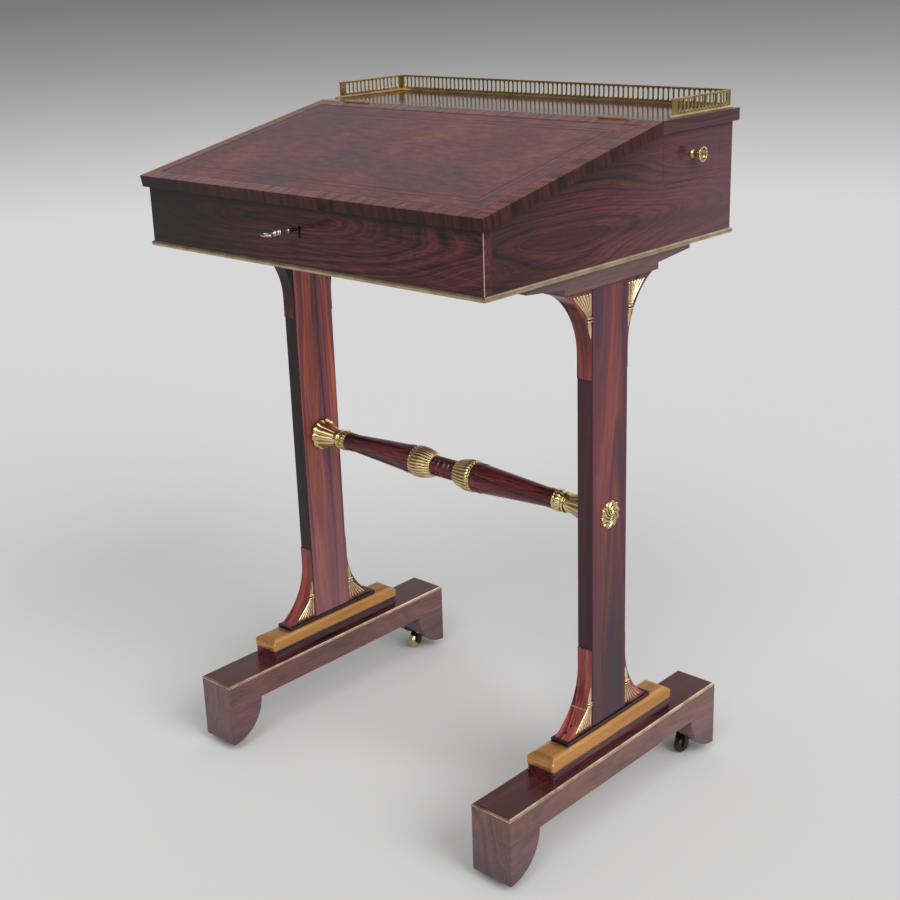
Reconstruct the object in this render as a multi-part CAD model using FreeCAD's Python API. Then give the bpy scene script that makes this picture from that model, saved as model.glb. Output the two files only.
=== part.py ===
import FreeCAD, Part
import math
import os

# Small sloped writing desk on two trestle ends. Millimetres, +X to the sitter's right, +Y to the
# back, +Z up. The pieces are drawn about the desk's own middle, standing on the floor at z = 0, and
# are moved at the end so that the origin is the bottom centre of the whole object's box.

Vector = FreeCAD.Vector

# ---------------------------------------------------------------------------
# Driving dimensions
# ---------------------------------------------------------------------------

# Base: a lobed foot under each end of a sledge bar
trestle_offset = 257.0        # desk middle to the middle of a trestle
bar_length = 440.0
bar_width = 62.0
bar_height = 36.0
lobe_radius = 57.0            # the feet are quarter rounds
foot_clearance = 11.0         # feet above the floor, carried by the castors
bead_radius = 3.2             # brass quarter-round let into the bar's upper edges
bead_rebate = 3.5
edge_round = 2.5              # eased edges of the bar and the feet

# Plinth on the bar
plinth_length = 251.0
plinth_width = 42.5
plinth_height = 15.5
plinth_round = 4.0            # upright corners of the plinth and its cap
cap_end_overhang = 0.75       # of the cap over the plinth's ends
cap_side_overhang = 0.5
cap_height = 15.5
cap_round = 11.0              # swept top edges
foot_slab_length = 174.0
foot_slab_width = 27.0
foot_slab_height = 5.0

# Column with its four brackets
column_width = 68.5           # along Y
column_thickness = 23.0       # along X
column_height = 565.0
column_round = 1.0
bracket_thickness = 21.0
bracket_radius = 92.0         # hollow curve of every bracket
bracket_tail = 1.5            # thickness left where a bracket runs out on the column
upper_bracket_rise = 83.0     # height of the curve, from the slab to where it runs straight
upper_bracket_length = 110.0
lower_bracket_rise = 80.0
lower_bracket_length = 106.0

# Bearer under the case
head_slab_length = 180.0
head_slab_height = 8.0
bearer_length = 312.0
bearer_width = 30.0
bearer_height = 14.0
bearer_end_height = 7.5

# Case
case_width = 560.0
case_depth = 466.0
case_back_height = 138.2      # case underside to shelf underside
case_board = 12.0             # front and sides
back_board = 10.0
bottom_board = 8.0
corner_round = 1.2
moulding_height = 6.5
moulding_projection = 2.4

# Lid and fixed shelf
lid_slope = 11.4              # degrees
lid_thickness = 14.5
top_side_overhang = 6.3
lid_front_overhang = 7.6
shelf_back_overhang = 4.4
shelf_depth = 162.3
lid_joint_gap = 0.6
band_width = 18.0             # cross-banded border round the leather
band_thickness = 1.5
leather_thickness = 1.2

# Butt hinges in the joint between lid and shelf
hinge_offset = 215.0
hinge_length = 44.0
hinge_leaf_height = 12.0
hinge_leaf_thickness = 1.0
hinge_leaf_gap = 0.3
knuckle_radius = 2.3
knuckle_count = 5
knuckle_gap = 0.2
pin_radius = 1.0
pin_rise = 0.4                # pin axis above the shelf's top
hinge_screw_spacing = 14.0

# Gallery on the shelf
gallery_side_inset = 5.6
gallery_back_inset = 7.0
gallery_setback = 21.6        # joint to the tip of the base strip
gallery_base_width = 5.5
gallery_base_height = 3.2
gallery_base_foot = 1.4       # upright edge below its chamfer
gallery_plate = 1.2
gallery_height = 22.2         # shelf top to the top of the rail
gallery_rail_width = 2.8
gallery_rail_height = 1.6
gallery_post_setback = 7.3    # base tip to the end post
gallery_post_width = 8.0
slot_width = 5.3
slot_pitch = 7.7
slot_margin = 2.2             # brass left above and below a slot

# Pen drawer in the right side, under the shelf
bay_divider = 8.0
back_stile = 18.5              # of the side, between the drawer and the back board
bay_divider_setback = 2.0     # joint to the divider's front face
dust_board = 8.0
bay_height = 60.2             # dust board to shelf
drawer_length = 320.0
drawer_gap = 0.4
drawer_wall = 6.0
drawer_wall_height = 44.0
drawer_floor = 4.0
drawer_floor_rise = 2.0
tray_wall = 4.0
tray_wall_height = 28.0
inkwell_length = 74.0
drawer_stop_width = 18.0
drawer_stop_height = 15.0

# Drawer knob
knob_projection = 18.5
knob_radius = 10.0
knob_head = 6.0
knob_neck_radius = 3.0
knob_base_radius = 5.5
knob_shank_radius = 2.0

# Lock, key and strike
lock_width = 56.0
lock_height = 39.0
lock_depth = 9.0
lock_wall = 1.5
lock_flange = 7.0
lock_top_gap = 0.9            # lock's top below the lid's underside
bolt_width = 16.0
bolt_thickness = 4.2
bolt_length = 16.0
bolt_talon_width = 6.0
bolt_talon_rise = 4.7         # key's axis to the talon's foot, bolt down
bolt_travel = 6.0
bolt_gap = 0.1
key_below_lid = 28.5          # lid underside at the inner face of the front to the key's axis
key_reach = 55.0              # key in front of the case
key_shank_radius = 2.2
key_collar_radius = 3.6
key_collar_count = 3
key_collar_pitch = 5.0
key_bow_width = 17.0
key_bow_length = 13.0
key_bow_wire = 3.0
key_bit_radius = 9.0
key_bit_thickness = 2.6
key_bit_length = 4.4
keyhole_radius = 3.0
keyhole_slot = 3.0
keyhole_drop = 8.0
escutcheon_radius = 4.6
escutcheon_tail = 3.2
escutcheon_drop = 10.5
escutcheon_thickness = 1.2
escutcheon_proud = 0.2
strike_length = 32.0
strike_width = 13.0
strike_thickness = 1.5
strike_slot_gap = 1.3
strike_recess = 7.0

# Turned stretcher between the columns
stretcher_height = 418.0
collar_inner = 20.0           # distances from the desk's middle along the stretcher
collar_outer = 55.0
cone_end = 187.0
cone_shoulder = 11.0
cone_large_radius = 19.3
cone_small_radius = 12.3
cone_ridge = 0.6
collar_radius = 21.5
socket_cup_length = 12.5
socket_cup_radius = 14.5
socket_neck_length = 2.5
socket_neck_radius = 10.5
socket_ring_length = 3.5
socket_ring_radius = 12.8
socket_flare_length = 23.0
socket_flare_radius = 23.0
socket_flange = 3.0
centre_radius = 13.7
centre_groove = 1.8           # depth of the grooves between the rings
centre_tenon_radius = 8.0
centre_tenon_end = 70.0
tenon_radius = 7.0
tenon_length = 28.0
tie_bolt_radius = 3.5
tie_bolt_reach = 75.0         # from the column's inner face towards the middle
tie_head_radius = 7.0
tie_head_height = 4.0
rosette_radius = 19.7
rosette_height = 10.0
running_gap = 0.05            # radial clearance of every pin and spigot in its hole

# Brass fan mounts in the bracket corners
fan_width = 36.0
fan_length = 57.0
fan_knot = 31.0               # foot of the fan to its knot
fan_knot_width = 8.6
fan_scallops = 6
fan_thickness = 2.5
fan_column_gap = 0.8
upper_fan_gap = 6.0
lower_fan_gap = 3.0

# Castors, sunk in round pockets in the feet
castor_inset = 27.0           # end of the bar to the swivel pin
castor_pocket_radius = 22.5
castor_pocket_top = 44.0
castor_plate_radius = 21.0
castor_plate_thickness = 2.0
castor_wheel_radius = 12.5
castor_wheel_width = 11.0
castor_wheel_round = 2.5
castor_trail = 7.0
castor_axle_radius = 2.5
castor_cheek = 2.2
castor_side_gap = 0.5
castor_yoke_radius = 9.0
castor_yoke_height = 3.5
castor_swivel_gap = 0.3
castor_pin_radius = 4.0
castor_rivet_radius = 6.0
castor_rivet_height = 2.2
castor_rivet_room = 1.0
castor_screw_circle = 14.0

# Wood screws
screw_shank_radius = 1.2
screw_head_radius = 2.3
screw_length = 9.0
bearer_screw_offset = 120.0
bearer_screw_radius = 2.0
bearer_screw_head_radius = 4.0
bearer_screw_head_height = 2.0
bearer_screw_bite = 6.0
bearer_screw_counterbore = 4.0

# ---------------------------------------------------------------------------
# Levels and places that follow from them
# ---------------------------------------------------------------------------

bar_bottom = foot_clearance + lobe_radius
bar_top = bar_bottom + bar_height
plinth_top = bar_top + plinth_height
cap_length = plinth_length + 2 * cap_end_overhang
cap_width = plinth_width + 2 * cap_side_overhang
cap_top = plinth_top + cap_height
column_foot = cap_top + foot_slab_height
column_top = column_foot + column_height
bearer_bottom = column_top + head_slab_height
case_bottom_z = bearer_bottom + bearer_height
shelf_bottom = case_bottom_z + case_back_height

slope = math.radians(lid_slope)
shelf_thickness = lid_thickness / math.cos(slope)
shelf_top_z = shelf_bottom + shelf_thickness
half_width = case_width / 2
half_depth = case_depth / 2
inner_half_width = half_width - case_board
front_inner_y = case_board - half_depth
back_inner_y = half_depth - back_board
top_half_width = half_width + top_side_overhang
shelf_back_y = half_depth + shelf_back_overhang
hinge_y = shelf_back_y - shelf_depth
lid_length = (hinge_y + half_depth + lid_front_overhang) / math.cos(slope)
pin_z = shelf_top_z + pin_rise

divider_y = hinge_y + bay_divider_setback
bay_front_y = divider_y + bay_divider
bay_back_y = back_inner_y - back_stile
bay_floor_z = shelf_bottom - bay_height

column_inner_x = trestle_offset - column_thickness / 2
column_outer_x = trestle_offset + column_thickness / 2
castor_y = bar_length / 2 - castor_inset


def lid_underside(y):
    """Height of the case's sloping top edge at a given depth."""
    return shelf_bottom - max(0.0, hinge_y - y) * math.tan(slope)


key_z = lid_underside(front_inner_y) - key_below_lid
lock_top_z = lid_underside(front_inner_y) - lock_top_gap
lock_y = front_inner_y
knob_y = (bay_front_y + bay_back_y) / 2
knob_z = (bay_floor_z + shelf_bottom) / 2

# ---------------------------------------------------------------------------
# Shape helpers
# ---------------------------------------------------------------------------


def block(x, y, z):
    """A box from three (low, high) pairs."""
    return Part.makeBox(x[1] - x[0], y[1] - y[0], z[1] - z[0], Vector(x[0], y[0], z[0]))


def centred(half_x, half_y, z, x=0.0, y=0.0):
    """A box about a vertical centre line."""
    return block((x - half_x, x + half_x), (y - half_y, y + half_y), z)


def rod(radius, start, end):
    """A round bar between two points."""
    axis = end - start
    return Part.makeCylinder(radius, axis.Length, start, axis)


def face_of(points):
    """A flat face from its corner points."""
    return Part.Face(Part.makePolygon(points + [points[0]]))


def prism_yz(outline, x):
    """A (y, z) outline extruded across x, a (low, high) pair."""
    face = face_of([Vector(x[0], y, z) for y, z in outline])
    return face.extrude(Vector(x[1] - x[0], 0, 0))


def prism_xy(outline, z):
    """A plan outline extruded over z, a (low, high) pair."""
    face = face_of([Vector(x, y, z[0]) for x, y in outline])
    return face.extrude(Vector(0, 0, z[1] - z[0]))


def turned_x(profile, y=0.0, z=0.0):
    """A solid turned about a line along X from (x, radius) stations."""
    ends = [(profile[0][0], 0.0)] + profile + [(profile[-1][0], 0.0)]
    face = face_of([Vector(x, y, z + radius) for x, radius in ends])
    return face.revolve(Vector(0, y, z), Vector(1, 0, 0), 360)


def mirrored(shape, normal):
    """A copy mirrored in the plane through the desk's middle with this normal."""
    return shape.mirror(Vector(0, 0, 0), normal)


def left_and_right(shape):
    """A piece on the right and its mirror image on the left."""
    return [shape, mirrored(shape, Vector(1, 0, 0))]


def front_and_back(shape):
    """A piece at the back and its mirror image at the front."""
    return [shape, mirrored(shape, Vector(0, 1, 0))]


def without(shape, *tools):
    """A shape with each tool cut away."""
    for tool in tools:
        shape = shape.cut(tool)
    return shape


def joined(first, *others):
    """One solid from touching or overlapping shapes."""
    shape = first
    for other in others:
        shape = shape.fuse(other)
    return shape.removeSplitter()


def rounded(shape, radius, wanted):
    """A shape with a round on the straight edges whose two ends satisfy wanted."""
    edges = [edge for edge in shape.Edges if all(wanted(v.Point) for v in edge.Vertexes)]
    return shape.makeFillet(radius, edges)


def wood_screw(head, direction, head_radius=screw_head_radius, shank_radius=screw_shank_radius,
               length=screw_length):
    """A countersunk screw whose head is flush at a point."""
    cone = Part.makeCone(head_radius, shank_radius, hinge_leaf_thickness, head, direction)
    return joined(cone, Part.makeCylinder(shank_radius, length, head, direction))


def mitred_frame(section, half_x, half_y, reach):
    """Four mitred lengths of a section round a rectangle. The section lies in the XZ plane, its
    x pointing out of the rectangle's edge."""
    box = section.BoundBox
    lengths = []
    for quarter in range(4):
        out, along = (half_x, half_y) if quarter % 2 == 0 else (half_y, half_x)
        strip = section.copy()
        strip.translate(Vector(out, -along - reach, 0))
        strip = strip.extrude(Vector(0, 2 * (along + reach), 0))
        mitre = prism_xy([(out - reach, reach - along), (out + reach, -reach - along),
                          (out + reach, along + reach), (out - reach, along - reach)],
                         (box.ZMin - 1, box.ZMax + 1))
        length = strip.common(mitre)
        length.rotate(Vector(0, 0, 0), Vector(0, 0, 1), 90 * quarter)
        lengths.append(length)
    return lengths


def on_slope(shape):
    """A shape drawn flat, its y = 0 at the hinge and its z = 0 in the lid's top, set on the slope."""
    placed = shape.copy()
    placed.rotate(Vector(0, 0, 0), Vector(1, 0, 0), lid_slope)
    placed.translate(Vector(0, hinge_y, shelf_top_z))
    return placed


def along_slope(y, z):
    """The distance from the hinge down the slope of a point of the case."""
    return (y - hinge_y) * math.cos(slope) + (z - shelf_top_z) * math.sin(slope)


# ---------------------------------------------------------------------------
# Hinges: cutters shared by the leaves and the wood around them
# ---------------------------------------------------------------------------


def hinge_places():
    return [-hinge_offset, hinge_offset]


def knuckle_span(x, index):
    """The (low, high) X span of one knuckle of the hinge at x."""
    pitch = hinge_length / knuckle_count
    start = x - hinge_length / 2 + index * pitch
    return (start + knuckle_gap / 2, start + pitch - knuckle_gap / 2)


def pin_line(x):
    """A (low, high) X span as two points on the hinge pin's axis."""
    return [Vector(value, hinge_y, pin_z) for value in x]


def leaf_plate(x, side, room=0.0):
    """The flat of a hinge leaf at x, on the shelf's side (+1) or the lid's (-1)."""
    near = side * hinge_leaf_gap / 2
    far = near + side * (hinge_leaf_thickness + room)
    return block((x - hinge_length / 2 - room, x + hinge_length / 2 + room),
                 (hinge_y + min(near, far), hinge_y + max(near, far)),
                 (pin_z - hinge_leaf_height - room, pin_z))


def hinge_screws(side):
    """The screws of both hinges on one side of the joint."""
    screws = []
    for x in hinge_places():
        for step in (-1, 0, 1):
            head = Vector(x + step * hinge_screw_spacing, hinge_y + side * hinge_leaf_gap / 2,
                          pin_z - hinge_leaf_height * 2 / 3)
            screws.append(wood_screw(head, Vector(0, side, 0)))
    return screws


def hinge_mortises(side):
    """What is cut from the wood for both hinges on one side of the joint."""
    cuts = hinge_screws(side)
    for x in hinge_places():
        ends = (x - hinge_length / 2 - running_gap, x + hinge_length / 2 + running_gap)
        cuts.append(leaf_plate(x, side, running_gap))
        cuts.append(rod(knuckle_radius + lid_joint_gap / 2, *pin_line(ends)))
    return cuts


def hinge_leaf(x, side):
    """One leaf with its knuckles: the shelf's leaf has the outer ones."""
    own = [index for index in range(knuckle_count) if (index % 2 == 0) == (side > 0)]
    leaf = leaf_plate(x, side)
    for index in range(knuckle_count):
        start, end = pin_line(knuckle_span(x, index))
        if index in own:
            leaf = leaf.fuse(rod(knuckle_radius, start, end))
        else:
            margin = Vector(knuckle_gap, 0, 0)
            leaf = leaf.cut(rod(knuckle_radius + knuckle_gap, start - margin, end + margin))
    bore = pin_radius if side > 0 else pin_radius + running_gap
    ends = (x - hinge_length, x + hinge_length)
    leaf = without(leaf, rod(bore, *pin_line(ends)), *hinge_screws(side))
    return leaf.removeSplitter()


def hinge_pin(x):
    ends = (x - hinge_length / 2, x + hinge_length / 2)
    return rod(pin_radius, *pin_line(ends))


# ---------------------------------------------------------------------------
# Lock
# ---------------------------------------------------------------------------


def bolt_box(room, top):
    """The bolt's own space, widened by a clearance, up to a given height."""
    middle = lock_y + lock_depth / 2
    half = bolt_thickness / 2 + room
    return block((-bolt_width / 2 - room, bolt_width / 2 + room), (middle - half, middle + half),
                 (lock_top_z - bolt_length, top))


def lock_bolt():
    """The bolt with the talon that the key's bit lifts."""
    body = bolt_box(0.0, lock_top_z)
    box = body.BoundBox
    talon = block((-bolt_talon_width / 2, bolt_talon_width / 2), (box.YMin, box.YMax),
                  (key_z + bolt_talon_rise, box.ZMin))
    return joined(body, talon)


def lock_screw_points():
    x = lock_width / 2 + lock_flange / 2
    y = lock_y + lock_wall
    heights = (lock_top_z - lock_height + lock_flange, lock_top_z - lock_flange)
    return [Vector(side * x, y, z) for side in (-1, 1) for z in heights]


def lock_screws():
    return [wood_screw(point, Vector(0, -1, 0)) for point in lock_screw_points()]


def lock_case():
    z = (lock_top_z - lock_height, lock_top_z)
    half = lock_width / 2
    shell = joined(block((-half, half), (lock_y, lock_y + lock_depth), z),
                   block((-half - lock_flange, half + lock_flange), (lock_y, lock_y + lock_wall), z))
    hollow = block((lock_wall - half, half - lock_wall),
                   (lock_y + lock_wall, lock_y + lock_depth - lock_wall),
                   (z[0] + lock_wall, z[1] - lock_wall))
    return without(shell, hollow, bolt_box(bolt_gap, z[1] + 1), keyhole(lock_y - 1, lock_wall + 1),
                   *lock_screws())


def keyhole(y, depth):
    """The keyhole's own shape: a round hole with a slot below it."""
    hole = rod(keyhole_radius, Vector(0, y, key_z), Vector(0, y + depth, key_z))
    slot = block((-keyhole_slot / 2, keyhole_slot / 2), (y, y + depth),
                 (key_z - keyhole_radius - keyhole_drop, key_z))
    return joined(hole, slot)


def escutcheon_blank(proud):
    """The inlaid plate round the keyhole: a round with a rounded tail."""
    y = -half_depth - proud
    back = y + escutcheon_thickness + proud
    tail_z = key_z - escutcheon_drop
    head = rod(escutcheon_radius, Vector(0, y, key_z), Vector(0, back, key_z))
    foot = rod(escutcheon_tail, Vector(0, y, tail_z), Vector(0, back, tail_z))
    waist = block((-escutcheon_tail, escutcheon_tail), (y, back), (tail_z, key_z))
    return joined(head, foot, waist)


def lock_escutcheon():
    return escutcheon_blank(escutcheon_proud).cut(keyhole(-half_depth - 1, case_board))


def lock_key():
    """The key in its lock, bolt down: shank with collars, flat oval bow, and bit level with it."""
    tip = -half_depth - key_reach
    bow_y = tip + key_bow_length / 2
    shank_end = lock_y + lock_depth - lock_wall - running_gap
    shank = rod(key_shank_radius, Vector(0, tip + key_bow_length - 2, key_z),
                Vector(0, shank_end, key_z))
    pieces = [shank]
    for index in range(key_collar_count):
        start = tip + key_bow_length + key_collar_pitch * (index + 0.8)
        end = start + key_collar_pitch / 2
        pieces.append(rod(key_collar_radius, Vector(0, start, key_z), Vector(0, end, key_z)))
    pieces.append(key_bow(bow_y))
    bit_y = lock_y + lock_wall + running_gap
    pieces.append(block((-key_bit_radius, 0), (bit_y, bit_y + key_bit_length),
                        (key_z - key_bit_thickness / 2, key_z + key_bit_thickness / 2)))
    return joined(*pieces)


def key_bow(y):
    """The oval ring held between finger and thumb, lying flat."""
    rings = []
    for inset in (0.0, key_bow_wire):
        across = key_bow_width / 2 - inset
        along = key_bow_length / 2 - inset
        ring = Part.Ellipse(Vector(0, y, key_z - key_bow_wire / 2), across, along).toShape()
        rings.append(Part.Face(Part.Wire(ring)).extrude(Vector(0, 0, key_bow_wire)))
    return rings[0].cut(rings[1])


def strike_place():
    """Where the bolt meets the lid's underside, down the slope from the hinge."""
    y = lock_y + lock_depth / 2
    return along_slope(y, lid_underside(y)) + bolt_travel / 2 * math.sin(slope)


def strike_slot(top):
    """The slot the bolt rises into, up to a depth in the lid."""
    middle = strike_place()
    half_x = bolt_width / 2 + strike_slot_gap
    half_y = bolt_thickness / 2 + strike_slot_gap
    return centred(half_x, half_y, (-lid_thickness - 1, top), 0.0, middle)


def strike_blank():
    z = (-lid_thickness, strike_thickness - lid_thickness)
    return centred(strike_length / 2, strike_width / 2, z, 0.0, strike_place())


def strike_screws():
    """Drawn flat, like the rest of the lid."""
    x = strike_length / 2 - screw_head_radius - running_gap
    return [wood_screw(Vector(side * x, strike_place(), -lid_thickness), Vector(0, 0, 1))
            for side in (-1, 1)]


def lock_strike_plate():
    return on_slope(without(strike_blank(), strike_slot(1 - lid_thickness + strike_thickness),
                            *strike_screws()))


# ---------------------------------------------------------------------------
# Case
# ---------------------------------------------------------------------------


def case_front():
    outline = [(-half_depth, case_bottom_z), (front_inner_y, case_bottom_z),
               (front_inner_y, lid_underside(front_inner_y)),
               (-half_depth, lid_underside(-half_depth))]
    board = prism_yz(outline, (-half_width, half_width))
    board = rounded(board, corner_round, lambda p: abs(abs(p.x) - half_width) < 0.01
                    and abs(p.y + half_depth) < 0.01)
    return without(board, keyhole(-half_depth - 1, case_board + 2), escutcheon_blank(0.0),
                   *lock_screws())


def side_board():
    """The right side, before the drawer's notch."""
    outline = [(front_inner_y, case_bottom_z), (half_depth, case_bottom_z),
               (half_depth, shelf_bottom), (hinge_y, shelf_bottom),
               (front_inner_y, lid_underside(front_inner_y))]
    board = prism_yz(outline, (inner_half_width, half_width))
    return rounded(board, corner_round, lambda p: abs(p.x - half_width) < 0.01
                   and abs(p.y - half_depth) < 0.01)


def case_side_right():
    notch = block((0, case_width), (bay_front_y, bay_back_y), (bay_floor_z, shelf_top_z))
    return side_board().cut(notch)


def case_side_left():
    return mirrored(side_board(), Vector(1, 0, 0))


def case_back():
    return block((-inner_half_width, inner_half_width), (back_inner_y, half_depth),
                 (case_bottom_z, shelf_bottom))


def case_bottom():
    board = block((-inner_half_width, inner_half_width), (front_inner_y, back_inner_y),
                  (case_bottom_z, case_bottom_z + bottom_board))
    return without(board, *bearer_screws())


def case_moulding():
    ends = [Vector(0, 0, case_bottom_z), Vector(0, 0, case_bottom_z + moulding_height)]
    crest = Vector(moulding_projection, 0, case_bottom_z + moulding_height / 2)
    edges = [Part.Arc(ends[0], crest, ends[1]).toShape(), Part.makeLine(ends[1], ends[0])]
    section = Part.Face(Part.Wire(edges))
    return mitred_frame(section, half_width, half_depth, 2 * moulding_projection)


def top_shelf():
    board = block((-top_half_width, top_half_width), (hinge_y + lid_joint_gap / 2, shelf_back_y),
                  (shelf_bottom, shelf_top_z))
    return without(board, *hinge_mortises(1))


def bay_divider_board():
    return block((-inner_half_width, inner_half_width), (divider_y, bay_front_y),
                 (bay_floor_z, shelf_bottom))


def drawer_dust_board():
    """The board the drawer runs on, the stop block at its inner end, and the guide strip along
    the back board."""
    board = block((-inner_half_width, inner_half_width), (divider_y, back_inner_y),
                  (bay_floor_z - dust_board, bay_floor_z))
    stop_x = half_width - drawer_length - drawer_gap
    stop = block((stop_x - drawer_stop_width, stop_x), (bay_front_y, bay_back_y),
                 (bay_floor_z, bay_floor_z + drawer_stop_height))
    guide = block((-inner_half_width, inner_half_width), (bay_back_y, back_inner_y),
                  (bay_floor_z, bay_floor_z + drawer_stop_height))
    return [board, stop, guide]


# ---------------------------------------------------------------------------
# Lid, drawn flat and set on the slope
# ---------------------------------------------------------------------------


def lid_trim():
    """Everything behind the lid's upright back edge."""
    return block((-case_width, case_width), (hinge_y - lid_joint_gap / 2, case_depth),
                 (0, 2 * shelf_top_z))


def lid_panel():
    panel = block((band_thickness - top_half_width, top_half_width - band_thickness),
                  (band_thickness - lid_length, -band_thickness), (-lid_thickness, -band_thickness))
    panel = without(panel, strike_blank(), strike_slot(strike_recess - lid_thickness),
                    *strike_screws())
    return without(on_slope(panel), lid_trim(), *hinge_mortises(-1))


def lid_crossbanding():
    """Four mitred strips, each the border on top and the facing of the edge."""
    outline = [(0, 0), (-band_width, 0), (-band_width, -band_thickness),
               (-band_thickness, -band_thickness), (-band_thickness, -lid_thickness),
               (0, -lid_thickness)]
    section = face_of([Vector(x, 0, z) for x, z in outline])
    strips = mitred_frame(section, top_half_width, lid_length / 2, band_width)
    placed = []
    for strip in strips:
        strip.translate(Vector(0, -lid_length / 2, 0))
        placed.append(without(on_slope(strip), lid_trim(), *hinge_mortises(-1)))
    return placed


def lid_leather():
    return on_slope(block((band_width - top_half_width, top_half_width - band_width),
                          (band_width - lid_length, -band_width),
                          (-band_thickness, leather_thickness - band_thickness)))


# ---------------------------------------------------------------------------
# Pen drawer
# ---------------------------------------------------------------------------

drawer_y = (bay_front_y + drawer_gap, bay_back_y - drawer_gap)
drawer_x = (half_width - drawer_length, half_width - case_board)
drawer_bottom_z = bay_floor_z + drawer_gap
tray_floor_z = drawer_bottom_z + drawer_floor_rise + drawer_floor
drawer_inner_y = (drawer_y[0] + drawer_wall, drawer_y[1] - drawer_wall)
drawer_inner_x = (drawer_x[0] + drawer_wall, drawer_x[1])


def pen_drawer_front():
    front = block((drawer_x[1], half_width), drawer_y, (drawer_bottom_z, shelf_bottom - drawer_gap))
    shank = rod(knob_shank_radius + running_gap, Vector(drawer_x[1] - 1, knob_y, knob_z),
                Vector(half_width + 1, knob_y, knob_z))
    return front.cut(shank)


def pen_drawer_box():
    """Two sides and the inner end."""
    z = (drawer_bottom_z, drawer_bottom_z + drawer_wall_height)
    sides = [block(drawer_x, (drawer_y[0], drawer_inner_y[0]), z),
             block(drawer_x, (drawer_inner_y[1], drawer_y[1]), z)]
    end = block((drawer_x[0], drawer_inner_x[0]), drawer_inner_y, z)
    return sides + [end]


def pen_drawer_bottom():
    return block(drawer_inner_x, drawer_inner_y, (tray_floor_z - drawer_floor, tray_floor_z))


def pen_drawer_dividers():
    """A wall across the drawer, one between the pen trays and one between the inkwell cells."""
    z = (tray_floor_z, tray_floor_z + tray_wall_height)
    cross = (drawer_inner_x[1] - inkwell_length - tray_wall, drawer_inner_x[1] - inkwell_length)
    middle = (knob_y - tray_wall / 2, knob_y + tray_wall / 2)
    knob_room = (cross[1], drawer_inner_x[1])
    return [block(cross, drawer_inner_y, z), block((drawer_inner_x[0], cross[0]), middle, z),
            block(knob_room, middle, z)]


def pen_drawer_knob():
    """A turned knob with a fluted disc head, its shank through the drawer front."""
    x = half_width
    head = x + knob_projection - knob_head
    profile = [(x - case_board, knob_shank_radius), (x, knob_shank_radius), (x, knob_base_radius),
               (x + 0.3 * knob_head, knob_base_radius), (x + 0.7 * knob_head, knob_neck_radius),
               (head - 0.3 * knob_head, knob_neck_radius), (head, 0.7 * knob_radius),
               (head + 0.2 * knob_head, knob_radius), (head + 0.6 * knob_head, knob_radius),
               (head + 0.9 * knob_head, 0.7 * knob_radius), (head + knob_head, 0.3 * knob_radius)]
    return turned_x(profile, knob_y, knob_z)


# ---------------------------------------------------------------------------
# Gallery
# ---------------------------------------------------------------------------

gallery_outer_x = top_half_width - gallery_side_inset
gallery_back_y = shelf_back_y - gallery_back_inset
gallery_tip_y = hinge_y + gallery_setback
plate_inset = (gallery_base_width - gallery_plate) / 2
plate_z = (shelf_top_z + gallery_base_height, shelf_top_z + gallery_height)
slot_z = (plate_z[0] + slot_margin, plate_z[1] - gallery_rail_height - slot_margin / 2)


def gallery_base():
    """The moulded strip under the gallery: two returns and the back, mitred."""
    low = shelf_top_z
    high = low + gallery_base_height
    foot = low + gallery_base_foot
    outline = [(0, low), (-gallery_base_width, low), (-gallery_base_width, foot),
               (plate_inset - gallery_base_width, high), (-plate_inset, high), (0, foot)]
    section = face_of([Vector(x, 0, z) for x, z in outline])
    half_run = (gallery_back_y - gallery_tip_y) / 2
    strips = mitred_frame(section, gallery_outer_x, half_run, gallery_base_width)
    for strip in strips:
        strip.translate(Vector(0, gallery_tip_y + half_run, 0))
    return strips[:3]


def slot_tools(start, end, thickness):
    """Round-ended slots along X from start to end, cutting through a plate about y = 0."""
    count = int((end - start + slot_pitch - slot_width) // slot_pitch)
    first = (start + end) / 2 - (count - 1) * slot_pitch / 2
    radius = slot_width / 2
    low, high = slot_z[0] + radius, slot_z[1] - radius
    tools = []
    for index in range(count):
        x = first + index * slot_pitch
        tools.append(block((x - radius, x + radius), (-thickness, thickness), (low, high)))
        for z in (low, high):
            tools.append(rod(radius, Vector(x, -thickness, z), Vector(x, thickness, z)))
    return Part.makeCompound(tools)


def gallery_run(start, end, slots_from, slots_to):
    """A pierced plate with its top rail, along X about y = 0."""
    half = gallery_plate / 2
    plate = block((start, end), (-half, half), plate_z)
    half = gallery_rail_width / 2
    rail = block((start, end), (-half, half), (plate_z[1] - gallery_rail_height, plate_z[1]))
    rail = rounded(rail, gallery_rail_width / 3, lambda p: abs(p.z - plate_z[1]) < 0.01
                   and start - 1 < p.x < end + 1)
    run = joined(plate, rail)
    return run.cut(slot_tools(slots_from, slots_to, gallery_rail_width))


def gallery_back():
    reach = gallery_outer_x - plate_inset
    margin = gallery_plate + slot_margin
    run = gallery_run(-reach, reach, margin - reach, reach - margin)
    run.translate(Vector(0, gallery_back_y - gallery_base_width / 2, 0))
    return run


def gallery_returns():
    """The two short runs, each with a plain post at its front end."""
    start = gallery_tip_y + gallery_post_setback
    end = gallery_back_y - gallery_base_width / 2 - gallery_rail_width / 2
    run = gallery_run(start, end, start + gallery_post_width, end - slot_margin)
    run.rotate(Vector(0, 0, 0), Vector(0, 0, 1), 90)
    run.translate(Vector(gallery_outer_x - gallery_base_width / 2, 0, 0))
    return left_and_right(run)


# ---------------------------------------------------------------------------
# Trestle ends: each function gives the right one
# ---------------------------------------------------------------------------


def across(width):
    """A (low, high) X span of a width about the right trestle's middle."""
    return (trestle_offset - width / 2, trestle_offset + width / 2)


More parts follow.
